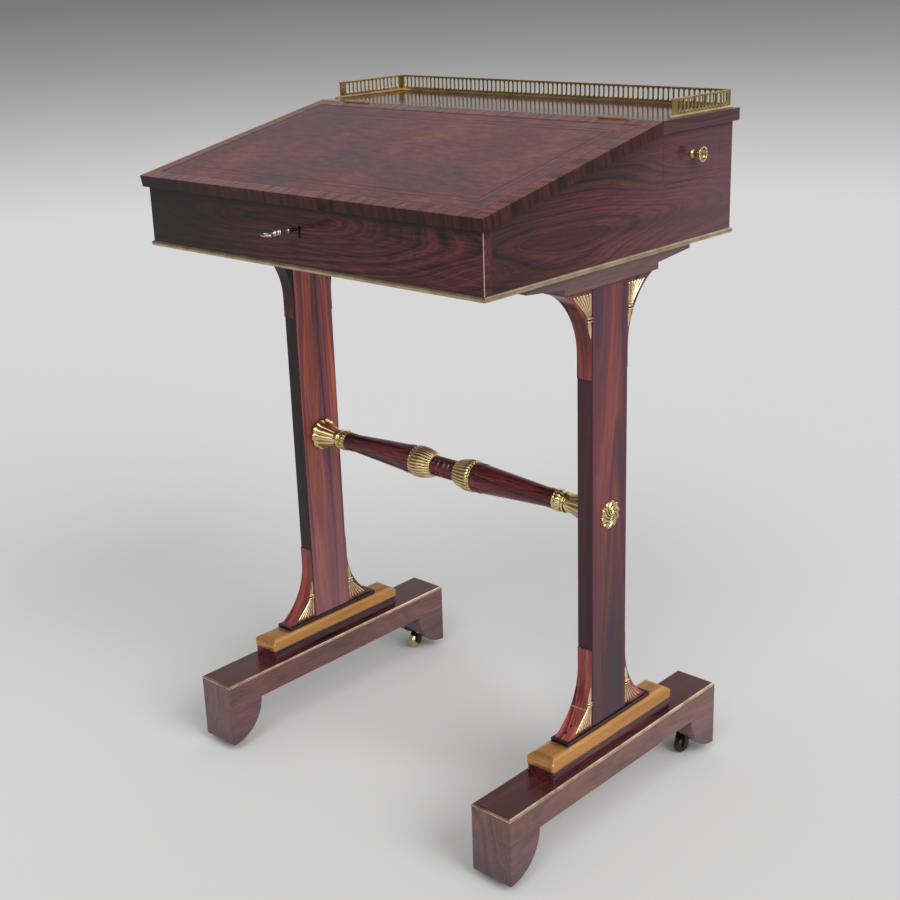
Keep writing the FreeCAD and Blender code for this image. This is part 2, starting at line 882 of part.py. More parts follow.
def bearer():
    """The board under the case and the slab below it."""
    end = bearer_length / 2
    knee = head_slab_length / 2
    outline = [(-end, case_bottom_z), (-end, case_bottom_z - bearer_end_height),
               (-knee, bearer_bottom), (knee, bearer_bottom),
               (end, case_bottom_z - bearer_end_height), (end, case_bottom_z)]
    board = prism_yz(outline, across(bearer_width))
    slab = block(across(bearer_width), (-knee, knee), (column_top, bearer_bottom))
    return [without(board, *bearer_screw_holes()), slab]


def bearer_screws():
    """Round-headed screws up through both bearers into the case's bottom."""
    seat = case_bottom_z - bearer_screw_counterbore
    screws = []
    for x in (-trestle_offset, trestle_offset):
        for y in (-bearer_screw_offset, bearer_screw_offset):
            head = rod(bearer_screw_head_radius, Vector(x, y, seat - bearer_screw_head_height),
                       Vector(x, y, seat))
            shank = rod(bearer_screw_radius, Vector(x, y, seat),
                        Vector(x, y, case_bottom_z + bearer_screw_bite))
            screws.append(joined(head, shank))
    return screws


def bearer_screw_holes():
    seat = case_bottom_z - bearer_screw_counterbore
    holes = bearer_screws()
    for y in (-bearer_screw_offset, bearer_screw_offset):
        holes.append(rod(bearer_screw_head_radius, Vector(trestle_offset, y, column_top),
                         Vector(trestle_offset, y, seat)))
    return holes


def column():
    board = block(across(column_thickness), (-column_width / 2, column_width / 2),
                  (column_foot, column_top))
    board = rounded_uprights(board, column_round)
    return board.cut(rod(tie_bolt_radius + running_gap,
                         Vector(column_inner_x - 1, 0, stretcher_height),
                         Vector(column_outer_x + 1, 0, stretcher_height)))


def rounded_uprights(board, radius):
    """A board with its four upright edges rounded."""
    uprights = [edge for edge in board.Edges if edge.BoundBox.XLength < 0.01
                and edge.BoundBox.YLength < 0.01]
    return board.makeFillet(radius, uprights)


def bracket_outline(rise, length):
    """One bracket's face in (distance from the column, distance from its slab), hollow-curved."""
    def hollow(height):
        drop = rise - height
        return bracket_tail + bracket_radius - math.sqrt(bracket_radius ** 2 - drop ** 2)
    corner = Vector(0, 0, 0)
    slab_end = Vector(0, hollow(0.0), 0)
    middle = Vector(0, hollow(rise / 2), rise / 2)
    runout = Vector(0, bracket_tail, rise)
    tail = Vector(0, bracket_tail, length)
    root = Vector(0, 0, length)
    edges = [Part.makeLine(corner, slab_end), Part.Arc(slab_end, middle, runout).toShape(),
             Part.makeLine(runout, tail), Part.makeLine(tail, root), Part.makeLine(root, corner)]
    return Part.Face(Part.Wire(edges))


def brackets():
    """Four hollow-curved brackets, glued to the column's front and back edges."""
    low, high = across(bracket_thickness)
    lower = bracket_outline(lower_bracket_rise, lower_bracket_length)
    lower.translate(Vector(low, column_width / 2, column_foot))
    upper = bracket_outline(upper_bracket_rise, upper_bracket_length)
    upper = upper.mirror(Vector(0, 0, 0), Vector(0, 0, 1))
    upper.translate(Vector(low, column_width / 2, column_top))
    pieces = []
    for face in (lower, upper):
        pieces += front_and_back(face.extrude(Vector(high - low, 0, 0)))
    return pieces


def fan_outline():
    """A fan mount's face in (distance from the column, distance from its slab): a scalloped foot
    that narrows to a knot and runs out to a point."""
    start = Vector(0, fan_column_gap, 0)
    pitch = fan_width / fan_scallops
    edges = []
    for index in range(fan_scallops):
        end = start + Vector(0, pitch, 0)
        crest = (start + end) / 2 - Vector(0, 0, pitch / 3)
        edges.append(Part.Arc(start, crest, end).toShape())
        start = end
    inner = fan_column_gap
    corners = [(inner + fan_width, 0), (inner + fan_knot_width * 0.8, fan_knot),
               (inner + fan_knot_width, fan_knot + 2), (inner + fan_knot_width * 0.85, fan_knot + 8),
               (inner + fan_knot_width / 3, fan_knot + 14), (inner + 1.0, fan_length),
               (inner, fan_length), (inner, 0)]
    points = [Vector(0, y, z) for y, z in corners]
    edges += [Part.makeLine(a, b) for a, b in zip(points, points[1:])]
    return Part.Face(Part.Wire(edges))


def fan_mounts():
    """Fans on the outer face at all four brackets, and on the inner face at the lower two."""
    rise = fan_width / fan_scallops / 3
    lower = fan_outline()
    lower.translate(Vector(0, column_width / 2, column_foot + lower_fan_gap + rise))
    upper = fan_outline().mirror(Vector(0, 0, 0), Vector(0, 0, 1))
    upper.translate(Vector(0, column_width / 2, column_top - upper_fan_gap - rise))
    inner_x, outer_x = across(bracket_thickness)
    fans = []
    for face, x, out in ((lower, outer_x, 1), (upper, outer_x, 1), (lower, inner_x, -1)):
        fan = face.extrude(Vector(out * fan_thickness, 0, 0))
        fan.translate(Vector(x, 0, 0))
        fans += front_and_back(fan)
    return fans + [mirrored(fan, Vector(1, 0, 0)) for fan in fans]


def plinth():
    """The block on the bar, and the slab on its cap that the column stands on."""
    base = rounded_uprights(centred(plinth_width / 2, plinth_length / 2, (bar_top, plinth_top),
                                    trestle_offset), plinth_round)
    slab = block(across(foot_slab_width), (-foot_slab_length / 2, foot_slab_length / 2),
                 (cap_top, column_foot))
    return [base, slab]


def plinth_cap():
    cap = block(across(cap_width), (-cap_length / 2, cap_length / 2), (plinth_top, cap_top))
    swept = rounded(cap, cap_round, lambda p: abs(p.z - cap_top) < 0.01)
    return swept.common(rounded_uprights(cap, plinth_round))


def base_bar():
    """The sledge bar, rebated round its upper edges for the bead."""
    half_x, half_y = bar_width / 2, bar_length / 2
    lower = centred(half_x, half_y, (bar_bottom, bar_top - bead_rebate), trestle_offset)
    lower = rounded_uprights(lower, edge_round)
    upper = centred(half_x - bead_rebate, half_y - bead_rebate, (bar_bottom, bar_top),
                    trestle_offset)
    return joined(lower, upper)


def base_bead():
    """Quarter-round strips in the rebates of both bars."""
    foot = bar_top - bead_rebate
    root = Vector(-bead_rebate, 0, foot)
    out = root + Vector(bead_radius, 0, 0)
    up = root + Vector(0, 0, bead_radius)
    bend = bead_radius * math.sqrt(0.5)
    arc = Part.Arc(out, root + Vector(bend, 0, bend), up).toShape()
    section = Part.Face(Part.Wire([Part.makeLine(root, out), arc, Part.makeLine(up, root)]))
    strips = mitred_frame(section, bar_width / 2, bar_length / 2, 2 * bead_rebate)
    placed = []
    for strip in strips:
        strip.translate(Vector(trestle_offset, 0, 0))
        placed += left_and_right(strip)
    return placed


def feet():
    """Quarter-round lobes under the bar's ends, each bored for its castor."""
    outer = Vector(trestle_offset - bar_width / 2, bar_length / 2, bar_bottom)
    lobe = Part.makeCylinder(lobe_radius, bar_width, outer, Vector(1, 0, 0))
    lobe = lobe.common(block(across(bar_width), (bar_length / 2 - lobe_radius, bar_length / 2),
                             (0, bar_bottom)))
    lobe = lobe.makeFillet(edge_round, [edge for edge in lobe.Edges
                                        if edge.BoundBox.ZMin < bar_bottom - 1])
    return front_and_back(without(lobe, *castor_cutters()))


# ---------------------------------------------------------------------------
# Castors
# ---------------------------------------------------------------------------

plate_bottom = castor_pocket_top - castor_plate_thickness
yoke_top = plate_bottom - castor_swivel_gap
rivet_bottom = castor_pocket_top + castor_swivel_gap
rivet_top = rivet_bottom + castor_rivet_height


def castor_point(z):
    """A point on the swivel axis of the right back castor."""
    return Vector(trestle_offset, castor_y, z)


def castor_screws():
    """Three screws up through the right back castor's plate."""
    screws = []
    for turn in (90, 210, 330):
        angle = math.radians(turn)
        offset = Vector(math.cos(angle), math.sin(angle), 0) * castor_screw_circle
        screws.append(wood_screw(castor_point(plate_bottom) + offset, Vector(0, 0, 1)))
    return screws


def castor_cutters():
    """What is bored out of a foot: the pocket, the rivet's room and the screws."""
    pocket = rod(castor_pocket_radius, castor_point(0), castor_point(castor_pocket_top))
    room = rod(castor_rivet_radius + castor_rivet_room, castor_point(castor_pocket_top),
               castor_point(rivet_top + castor_rivet_room))
    return [pocket, room] + castor_screws()


def castor_plate():
    disc = rod(castor_plate_radius, castor_point(plate_bottom), castor_point(castor_pocket_top))
    bore = rod(castor_pin_radius + running_gap, castor_point(0), castor_point(bar_top))
    return without(disc, bore, *castor_screws())


def castor_fork():
    """Yoke, riveted swivel pin, two cheeks and the axle, as one piece."""
    axle_y = castor_y - castor_trail
    inner = castor_wheel_width / 2 + castor_side_gap
    yoke = rod(castor_yoke_radius, castor_point(yoke_top - castor_yoke_height),
               castor_point(yoke_top))
    pin = rod(castor_pin_radius, castor_point(yoke_top), castor_point(rivet_bottom))
    rivet = rod(castor_rivet_radius, castor_point(rivet_bottom), castor_point(rivet_top))
    boss = 2 * castor_axle_radius
    outline = [(castor_y + boss, yoke_top - 1), (castor_y - boss, yoke_top - 1),
               (axle_y - boss, castor_wheel_radius), (axle_y + boss, castor_wheel_radius)]
    axle_ends = [Vector(trestle_offset + side * (inner + castor_cheek), axle_y, castor_wheel_radius)
                 for side in (-1, 1)]
    pieces = [pin, rivet, rod(castor_axle_radius, *axle_ends)]
    for side in (-1, 1):
        x = sorted((trestle_offset + side * inner, trestle_offset + side * (inner + castor_cheek)))
        pieces.append(prism_yz(outline, x))
        pieces.append(rod(boss, Vector(x[0], axle_y, castor_wheel_radius),
                          Vector(x[1], axle_y, castor_wheel_radius)))
    return joined(yoke, *pieces)


def castor_wheel():
    half = castor_wheel_width / 2
    profile = [(-half, castor_wheel_radius - castor_wheel_round),
               (castor_wheel_round - half, castor_wheel_radius),
               (half - castor_wheel_round, castor_wheel_radius),
               (half, castor_wheel_radius - castor_wheel_round)]
    wheel = turned_x(profile, castor_y - castor_trail, castor_wheel_radius)
    wheel.translate(Vector(trestle_offset, 0, 0))
    ends = [Vector(trestle_offset + side * castor_wheel_width, castor_y - castor_trail,
                   castor_wheel_radius) for side in (-1, 1)]
    return wheel.cut(rod(castor_axle_radius + running_gap, *ends))


# ---------------------------------------------------------------------------
# Stretcher: turned about a line along X at y = 0
# ---------------------------------------------------------------------------


def turned_stretcher(profile, bore=0.0):
    """One turned piece of the stretcher's right half, bored through if a radius is given."""
    piece = turned_x(profile, 0.0, stretcher_height)
    if bore:
        piece = piece.cut(stretcher_rod(bore, profile[0][0] - 1, profile[-1][0] + 1))
    return piece


def stretcher_rod(radius, start, end):
    return rod(radius, Vector(start, 0, stretcher_height), Vector(end, 0, stretcher_height))


def stretcher_centre():
    """The ring-turned middle with a tenon at each end."""
    ring, groove = centre_radius, centre_radius - centre_groove
    shares = [(0.0, ring), (0.15, ring), (0.23, groove), (0.31, groove), (0.38, ring), (0.53, ring),
              (0.62, groove), (0.70, groove), (0.76, ring), (1.0, ring)]
    half = [(share * collar_inner, radius) for share, radius in shares]
    half += [(collar_inner, centre_tenon_radius), (centre_tenon_end, centre_tenon_radius)]
    profile = [(-x, radius) for x, radius in reversed(half[1:])] + half
    return turned_stretcher(profile)


def stretcher_cone():
    """A tapering length with a tenon at its small end."""
    large, small = cone_large_radius, cone_small_radius
    shoulder = cone_end - cone_shoulder
    profile = [(collar_outer, large), (collar_outer, large + cone_ridge),
               (collar_outer + cone_shoulder, large + cone_ridge),
               (collar_outer + cone_shoulder, large), (shoulder, small),
               (shoulder, small + cone_ridge), (cone_end, small + cone_ridge),
               (cone_end, tenon_radius), (cone_end + tenon_length, tenon_radius)]
    cone = turned_stretcher(profile)
    centre_bore = stretcher_rod(centre_tenon_radius + running_gap, collar_outer - 1,
                                centre_tenon_end + 1)
    bolt_bore = stretcher_rod(tie_bolt_radius, column_inner_x - tie_bolt_reach, column_outer_x)
    return without(cone, centre_bore, bolt_bore)


def stretcher_collar():
    """A gadrooned cup, here as its plain turned form."""
    run = collar_outer - collar_inner
    swell = collar_radius - centre_radius
    shares = [(0.0, 0.0), (0.06, 0.25), (0.2, 0.5), (0.4, 0.77), (0.6, 0.94), (0.8, 1.0),
              (0.9, 0.97)]
    profile = [(collar_inner + along * run, centre_radius + up * swell) for along, up in shares]
    profile.append((collar_outer, cone_large_radius + 2 * cone_ridge))
    return turned_stretcher(profile, centre_tenon_radius + running_gap)


def stretcher_socket():
    """The brass socket at the column: a lotus cup on a flared foot."""
    cup, neck, ring = socket_cup_radius, socket_neck_radius, socket_ring_radius
    profile = [(cone_end, cone_small_radius + cone_ridge)]
    profile += [(cone_end + share * socket_cup_length, radius) for share, radius in
                ((0.12, cup - cone_ridge), (0.5, cup), (0.8, ring), (1.0, neck))]
    ring_start = cone_end + socket_cup_length + socket_neck_length
    ring_end = ring_start + socket_ring_length
    profile += [(ring_start, neck), (ring_start, ring), (ring_end, ring), (ring_end, neck)]
    flare = socket_flare_radius - neck
    foot = column_inner_x - socket_flange
    profile += [(foot - share * socket_flare_length, neck + up * flare) for share, up in
                ((1.0, 0.15), (0.75, 0.22), (0.43, 0.48), (0.13, 0.92), (0.0, 1.0))]
    profile.append((column_inner_x, socket_flare_radius))
    socket = turned_stretcher(profile)
    return without(socket, stretcher_rod(tenon_radius + running_gap, cone_end - 1,
                                         cone_end + tenon_length),
                   stretcher_rod(tie_bolt_radius + running_gap, cone_end, column_inner_x + 1))


def tie_bolt():
    """The iron bolt through the column, its head under the rosette."""
    return joined(stretcher_rod(tie_bolt_radius, column_inner_x - tie_bolt_reach, column_outer_x),
                  stretcher_rod(tie_head_radius, column_outer_x, column_outer_x + tie_head_height))


def rosette():
    """The boss over the bolt head, here as its plain turned form."""
    x, r, h = column_outer_x, rosette_radius, rosette_height
    profile = [(x, r), (x + 0.30 * h, r), (x + 0.50 * h, 0.92 * r), (x + 0.75 * h, 0.70 * r),
               (x + 0.85 * h, 0.45 * r), (x + h, 0.30 * r)]
    room = running_gap + tie_head_height
    return turned_stretcher(profile).cut(
        stretcher_rod(tie_head_radius + running_gap, x - 1, x + room))


# ---------------------------------------------------------------------------
# The whole desk
# ---------------------------------------------------------------------------


def all_castors():
    """Each castor's place by name, with how it is mirrored from the right back one."""
    sides = {"left": [Vector(1, 0, 0)], "right": []}
    ends = {"front": [Vector(0, 1, 0)], "back": []}
    return {side + "_" + end: sides[side] + ends[end] for side in sides for end in ends}


def at_castor(shape, normals):
    for normal in normals:
        shape = mirrored(shape, normal)
    return shape


def castor_plates():
    return [at_castor(castor_plate(), normals) for normals in all_castors().values()]


def case_screws():
    """Every screw in the fixed part: hinges, lock, bearers and castor plates."""
    screws = hinge_screws(1) + lock_screws() + bearer_screws()
    for normals in all_castors().values():
        screws += [at_castor(screw, normals) for screw in castor_screws()]
    return screws


def lid_screws():
    return hinge_screws(-1) + [on_slope(screw) for screw in strike_screws()]


def as_list(made):
    return made if isinstance(made, list) else [made]


def fixed_nodes():
    nodes = {
        "case_front": case_front(),
        "case_side_left": case_side_left(),
        "case_side_right": case_side_right(),
        "case_back": case_back(),
        "case_bottom": case_bottom(),
        "case_moulding": case_moulding(),
        "top_shelf": top_shelf(),
        "drawer_divider": bay_divider_board(),
        "drawer_dust_board": drawer_dust_board(),
        "gallery_back": gallery_back(),
        "gallery_returns": gallery_returns(),
        "gallery_base": gallery_base(),
        "hinge_shelf_leaves": [part for x in hinge_places() for part in (hinge_leaf(x, 1),
                                                                         hinge_pin(x))],
        "lock_case": lock_case(),
        "lock_escutcheon": lock_escutcheon(),
        "case_screws": case_screws(),
        "fan_mounts": fan_mounts(),
        "base_bead": base_bead(),
        "stretcher_centre": stretcher_centre(),
        "stretcher_cones": left_and_right(stretcher_cone()),
        "stretcher_collars": left_and_right(stretcher_collar()),
        "stretcher_sockets": left_and_right(stretcher_socket()),
        "stretcher_tie_bolts": left_and_right(tie_bolt()),
        "stretcher_rosettes": left_and_right(rosette()),
        "castor_plates": castor_plates(),
    }
    nodes.update(trestle_nodes())
    return nodes


def trestle_nodes():
    """The same pieces for each end, the left one mirrored."""
    makers = {"bearer": bearer, "column": column, "brackets": brackets, "plinth": plinth,
              "plinth_cap": plinth_cap, "base_bar": base_bar, "feet": feet}
    nodes = {}
    for name, maker in makers.items():
        pieces = as_list(maker())
        nodes["right_" + name] = pieces
        nodes["left_" + name] = [mirrored(piece, Vector(1, 0, 0)) for piece in pieces]
    return nodes


def moving_nodes():
    nodes = {
        "lid_panel": lid_panel(),
        "lid_crossbanding": lid_crossbanding(),
        "lid_leather": lid_leather(),
        "hinge_lid_leaves": [hinge_leaf(x, -1) for x in hinge_places()],
        "lock_strike_plate": lock_strike_plate(),
        "lid_screws": lid_screws(),
        "pen_drawer_front": pen_drawer_front(),
        "pen_drawer_box": pen_drawer_box(),
        "pen_drawer_bottom": pen_drawer_bottom(),
        "pen_drawer_dividers": pen_drawer_dividers(),
        "pen_drawer_knob": pen_drawer_knob(),
        "lock_bolt": lock_bolt(),
        "lock_key": lock_key(),
    }
    for place, normals in all_castors().items():
        nodes["castor_fork_" + place] = at_castor(castor_fork(), normals)
        nodes["castor_wheel_" + place] = at_castor(castor_wheel(), normals)
    return nodes


def box_centre():
    """The middle of the whole object's box in plan: the knob reaches furthest to the right, the
    bar to the left, the key to the front and the shelf to the back."""
    right = half_width + knob_projection
    left = -trestle_offset - bar_width / 2
    front = -half_depth - key_reach
    return Vector((right + left) / 2, (front + shelf_back_y) / 2, 0)


def main():
    os.makedirs("parts", exist_ok=True)
    nodes = fixed_nodes()
    nodes.update(moving_nodes())
    for name, made in nodes.items():
        pieces = [piece.copy() for piece in as_list(made)]
        for piece in pieces:
            piece.translate(-box_centre())
        shape = pieces[0] if len(pieces) == 1 else Part.makeCompound(pieces)
        shape.exportStep("parts/" + name + ".step")


main()
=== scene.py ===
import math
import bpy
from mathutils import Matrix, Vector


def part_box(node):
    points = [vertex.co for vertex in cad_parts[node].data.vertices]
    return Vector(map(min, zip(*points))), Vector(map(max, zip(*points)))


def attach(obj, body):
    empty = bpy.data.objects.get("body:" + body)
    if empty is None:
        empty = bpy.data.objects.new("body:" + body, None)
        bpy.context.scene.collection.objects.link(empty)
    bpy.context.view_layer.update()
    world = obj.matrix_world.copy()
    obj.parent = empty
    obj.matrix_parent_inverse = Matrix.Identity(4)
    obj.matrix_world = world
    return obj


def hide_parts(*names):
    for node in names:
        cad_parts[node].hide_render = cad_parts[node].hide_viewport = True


bl_info = {
    "name": "Sloped Writing Desk",
    "version": (1, 0, 0),
    "blender": (4, 5, 0),
    "location": "View3D > Sidebar > Writing Desk",
    "description": "Dresses a sloped writing desk on trestle ends: veneer, leather, gilt mounts and a stage",
    "category": "Object",
}

from functools import partial

import bmesh
import bpy
from bpy.props import FloatProperty, FloatVectorProperty, IntProperty, PointerProperty
from mathutils import Matrix, Vector

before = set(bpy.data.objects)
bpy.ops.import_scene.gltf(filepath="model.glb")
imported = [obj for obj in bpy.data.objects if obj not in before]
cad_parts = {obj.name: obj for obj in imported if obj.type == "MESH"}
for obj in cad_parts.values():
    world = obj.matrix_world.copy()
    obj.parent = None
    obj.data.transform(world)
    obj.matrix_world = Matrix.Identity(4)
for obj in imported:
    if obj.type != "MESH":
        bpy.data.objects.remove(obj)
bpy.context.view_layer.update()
MM = 0.001


def box_mm(node):
    """A node's lowest and highest corners in millimetres."""
    low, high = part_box(node)
    return Vector(low) / MM, Vector(high) / MM


def middle_mm(node):
    low, high = box_mm(node)
    return (low + high) / 2


# Places read from the frame, in millimetres
STRETCHER = middle_mm("stretcher_centre")
COLUMN_LOW, COLUMN_HIGH = box_mm("right_column")
COLUMN_HALF_Y = (COLUMN_HIGH.y - COLUMN_LOW.y) / 2
CAP_TOP = box_mm("right_plinth_cap")[1].z
BAR_TOP = box_mm("right_base_bar")[1].z
CASE_LOW, CASE_HIGH = box_mm("case_front")
SHELF_LOW, SHELF_HIGH = box_mm("top_shelf")
LID_LOW, LID_HIGH = box_mm("lid_crossbanding")
HINGE_Y = (SHELF_LOW.y + LID_HIGH.y) / 2

# The lid's slope, and sizes on the lid in metres
LID_SLOPE = math.radians(11.4)
LID_HALF_X = (LID_HIGH.x - LID_LOW.x) / 2 * MM
LID_LENGTH = (HINGE_Y - LID_LOW.y) * MM / math.cos(LID_SLOPE)
BAND = 0.018


def rgba(colour):
    """Linear RGBA from an sRGB hex text, from a grey level, or from RGBA as it is."""
    if isinstance(colour, float):
        return (colour, colour, colour, 1.0)
    if not isinstance(colour, str):
        return tuple(colour)
    parts = [int(colour[i:i + 2], 16) / 255 for i in (0, 2, 4)]
    return [c / 12.92 if c <= 0.04045 else ((c + 0.055) / 1.055) ** 2.4 for c in parts] + [1.0]


# ---- Settings a user would change ----


class DeskSizes(bpy.types.PropertyGroup):
    gadroon_count: IntProperty(name="Gadroons", description="Lobes round each stretcher collar",
                               default=26, min=8, max=60)
    gadroon_depth: FloatProperty(name="Gadroon depth", description="Depth between two gadroons",
                                 default=0.0015, min=0.0, unit="LENGTH")
    rosette_leaves: IntProperty(name="Rosette leaves", description="Swirled leaves on a rosette",
                                default=10, min=4, max=24)
    rosette_twist: FloatProperty(name="Rosette twist", description="Turn of a leaf, centre to rim",
                                 default=math.radians(95), subtype="ANGLE")
    fan_reeds: IntProperty(name="Fan reeds", description="Reeds across the foot of a fan mount",
                           default=6, min=3, max=12)
    slot_pitch: FloatProperty(name="Slot pitch", description="Spacing of the gallery's slots",
                              default=0.0077, min=0.003, unit="LENGTH")
    slot_width: FloatProperty(name="Slot width", description="Width of one gallery slot",
                              default=0.0053, min=0.001, unit="LENGTH")
    knob_beads: IntProperty(name="Knob beads", description="Beads round the drawer knob's rim",
                            default=14, min=6, max=40)


def colour_property(name, description, colour):
    return FloatVectorProperty(name=name, description=description, subtype="COLOR", size=4, min=0,
                               max=1, default=rgba(colour))


class DeskFinishes(bpy.types.PropertyGroup):
    veneer: colour_property("Veneer", "Mid colour of the rosewood veneer", "471B22")
    figure: colour_property("Figure", "Dark figure lines of the rosewood", "1A0D11")
    brass: colour_property("Brass", "Polished lacquered brass", "E0CA96")
    leather: colour_property("Leather", "Faded writing skiver", "60373B")


# ---- Materials ----


def add_node(tree, kind, *inputs, **values):
    """Adds one node. Inputs go to its sockets in order, and values to its properties or, by name,
    to its sockets. A node or a socket is linked, and a hex text is a colour."""
    made = tree.nodes.new(kind)
    for name in [name for name in values if name in made.bl_rna.properties]:
        setattr(made, name, values.pop(name))
    given = list(zip([socket for socket in made.inputs if socket.enabled], inputs))
    given += [(made.inputs[name.replace("_", " ")], value) for name, value in values.items()]
    for socket, value in given:
        if isinstance(value, bpy.types.Node):
            value = [output for output in value.outputs if output.enabled][0]
        if isinstance(value, bpy.types.NodeSocket):
            tree.links.new(value, socket)
        else:
            socket.default_value = rgba(value) if isinstance(value, str) else value
    return made


def new_material(name):
    """An empty material, and what adds a node to it."""
    material = bpy.data.materials.new(name)
    material.use_nodes = True
    material.node_tree.nodes.clear()
    return material, partial(add_node, material.node_tree)


def ramp_stops(ramp_node, stops, interpolation="LINEAR"):
    """Sets a Color Ramp's stops from (position, colour) pairs."""
    ramp = ramp_node.color_ramp
    ramp.interpolation = interpolation
    while len(ramp.elements) > 1:
        ramp.elements.remove(ramp.elements[-1])
    ramp.elements[0].position = stops[0][0]
    ramp.elements[0].color = rgba(stops[0][1])
    for position, colour in stops[1:]:
        ramp.elements.new(position).color = rgba(colour)
    return ramp_node


def distance_from(add, value, middle):
    """How far a value lies from a middle, to either side."""
    offset = add("ShaderNodeMath", value, middle, operation="SUBTRACT")
    return add("ShaderNodeMath", offset, operation="ABSOLUTE")


def desk_colours():
    return bpy.context.scene.desk_finishes


def rosewood(name, heart, spread, ground=None, line=None, streak="642C2C", ring_mm=3.2,
             warp_mm=14.0, cloud=0.5, mottle=0.5, gloss=0.3, roughness=0.14, edges=(), fades=(),
             marks=()):
    """French-polished rosewood: dark red-brown with fine irregular growth lines from rust to near
    black, broad darker clouds, and a clear film that mirrors what stands near it. The lines lie
    round a heart, in millimetres, and are drawn out along the grain by the spread. An edge is
    (axis, middle, distance, colour, share) and tints what lies further out than the distance. A
    fade is (axis, full, none, colour, share) and tints the wood from one place to the other. A
    mark is (centre, direction, half thickness, axes, reach, colour): a glue line, a plug, or a
    painted highlight down a corner, which reaches along the axis that is left out."""
    material, add = new_material(name)
    ground = ground or desk_colours().veneer
    line = line or desk_colours().figure
    place = add("ShaderNodeTexCoord").outputs["Object"]
    spot = add("ShaderNodeMapping", place, Scale=[1.0 / s for s in spread],
               Location=[-h * MM / s for h, s in zip(heart, spread)])
    bend = add("ShaderNodeTexNoise", spot, Scale=16.0, Detail=1.5, Roughness=0.4).outputs["Color"]
    bend = add("ShaderNodeVectorMath", bend, (0.5, 0.5, 0.5), operation="SUBTRACT")
    bent = add("ShaderNodeVectorMath", bend, (warp_mm * 4 * MM,) * 3, spot,
               operation="MULTIPLY_ADD")
    out_from_heart = add("ShaderNodeVectorMath", bent, operation="LENGTH")
    rings = add("ShaderNodeTexNoise", out_from_heart, noise_dimensions="1D", Scale=1000 / ring_mm,
                Detail=3.0, Roughness=0.6)
    grain = add("ShaderNodeMapping", place, Scale=[1.0 if s < 1.5 else 0.06 for s in spread])
    pores = add("ShaderNodeTexNoise", grain, Scale=420.0, Detail=3.0, Roughness=0.7)
    broken = add("ShaderNodeMix", mottle, rings, pores, data_type="FLOAT")
    lines = ramp_stops(add("ShaderNodeValToRGB", broken),
                       [(0.37, line), (0.48, ground), (0.59, streak), (0.70, ground)], "EASE")
    patch = add("ShaderNodeTexNoise", bent, Scale=24.0, Detail=4.0, Roughness=0.6)
    shade = ramp_stops(add("ShaderNodeValToRGB", patch),
                       [(0.34, 1.0 - cloud), (0.50, 0.9), (0.66, 1.15)], "EASE")
    colour = add("ShaderNodeMix", 1.0, lines, shade, data_type="RGBA", blend_type="MULTIPLY")
    parts = add("ShaderNodeSeparateXYZ", place)
    for axis, full, none, tint, share in fades:
        amount = add("ShaderNodeMapRange", parts.outputs[axis], none * MM, full * MM, 0.0, share,
                     interpolation_type="SMOOTHSTEP")
        colour = add("ShaderNodeMix", amount, colour, tint, data_type="RGBA")
    for axis, middle, distance, tint, share in edges:
        away = distance_from(add, parts.outputs[axis], middle * MM)
        beyond = add("ShaderNodeMath", away, distance * MM, operation="GREATER_THAN")
        amount = add("ShaderNodeMath", beyond, share, operation="MULTIPLY")
        colour = add("ShaderNodeMix", amount, colour, tint, data_type="RGBA")
    for centre, direction, half, axes, reach, tint in marks:
        offset = add("ShaderNodeVectorMath", place, [c * MM for c in centre], operation="SUBTRACT")
        along = add("ShaderNodeVectorMath", offset, direction, operation="DOT_PRODUCT")
        along = add("ShaderNodeMath", along, operation="ABSOLUTE")
        thin = add("ShaderNodeMath", along, half * MM, operation="LESS_THAN")
        flat = add("ShaderNodeVectorMath", offset, axes, operation="MULTIPLY")
        away = add("ShaderNodeVectorMath", flat, operation="LENGTH")
        close = add("ShaderNodeMath", away, reach * MM, operation="LESS_THAN")
        amount = add("ShaderNodeMath", thin, close, operation="MULTIPLY")
        colour = add("ShaderNodeMix", amount, colour, tint, data_type="RGBA")
    eased = add("ShaderNodeBevel", samples=4, Radius=0.8 * MM)
    shader = add("ShaderNodeBsdfPrincipled", Base_Color=colour, Normal=eased, Roughness=roughness,
                 IOR=1.47, Specular_IOR_Level=gloss)
    add("ShaderNodeOutputMaterial", shader)
    return material


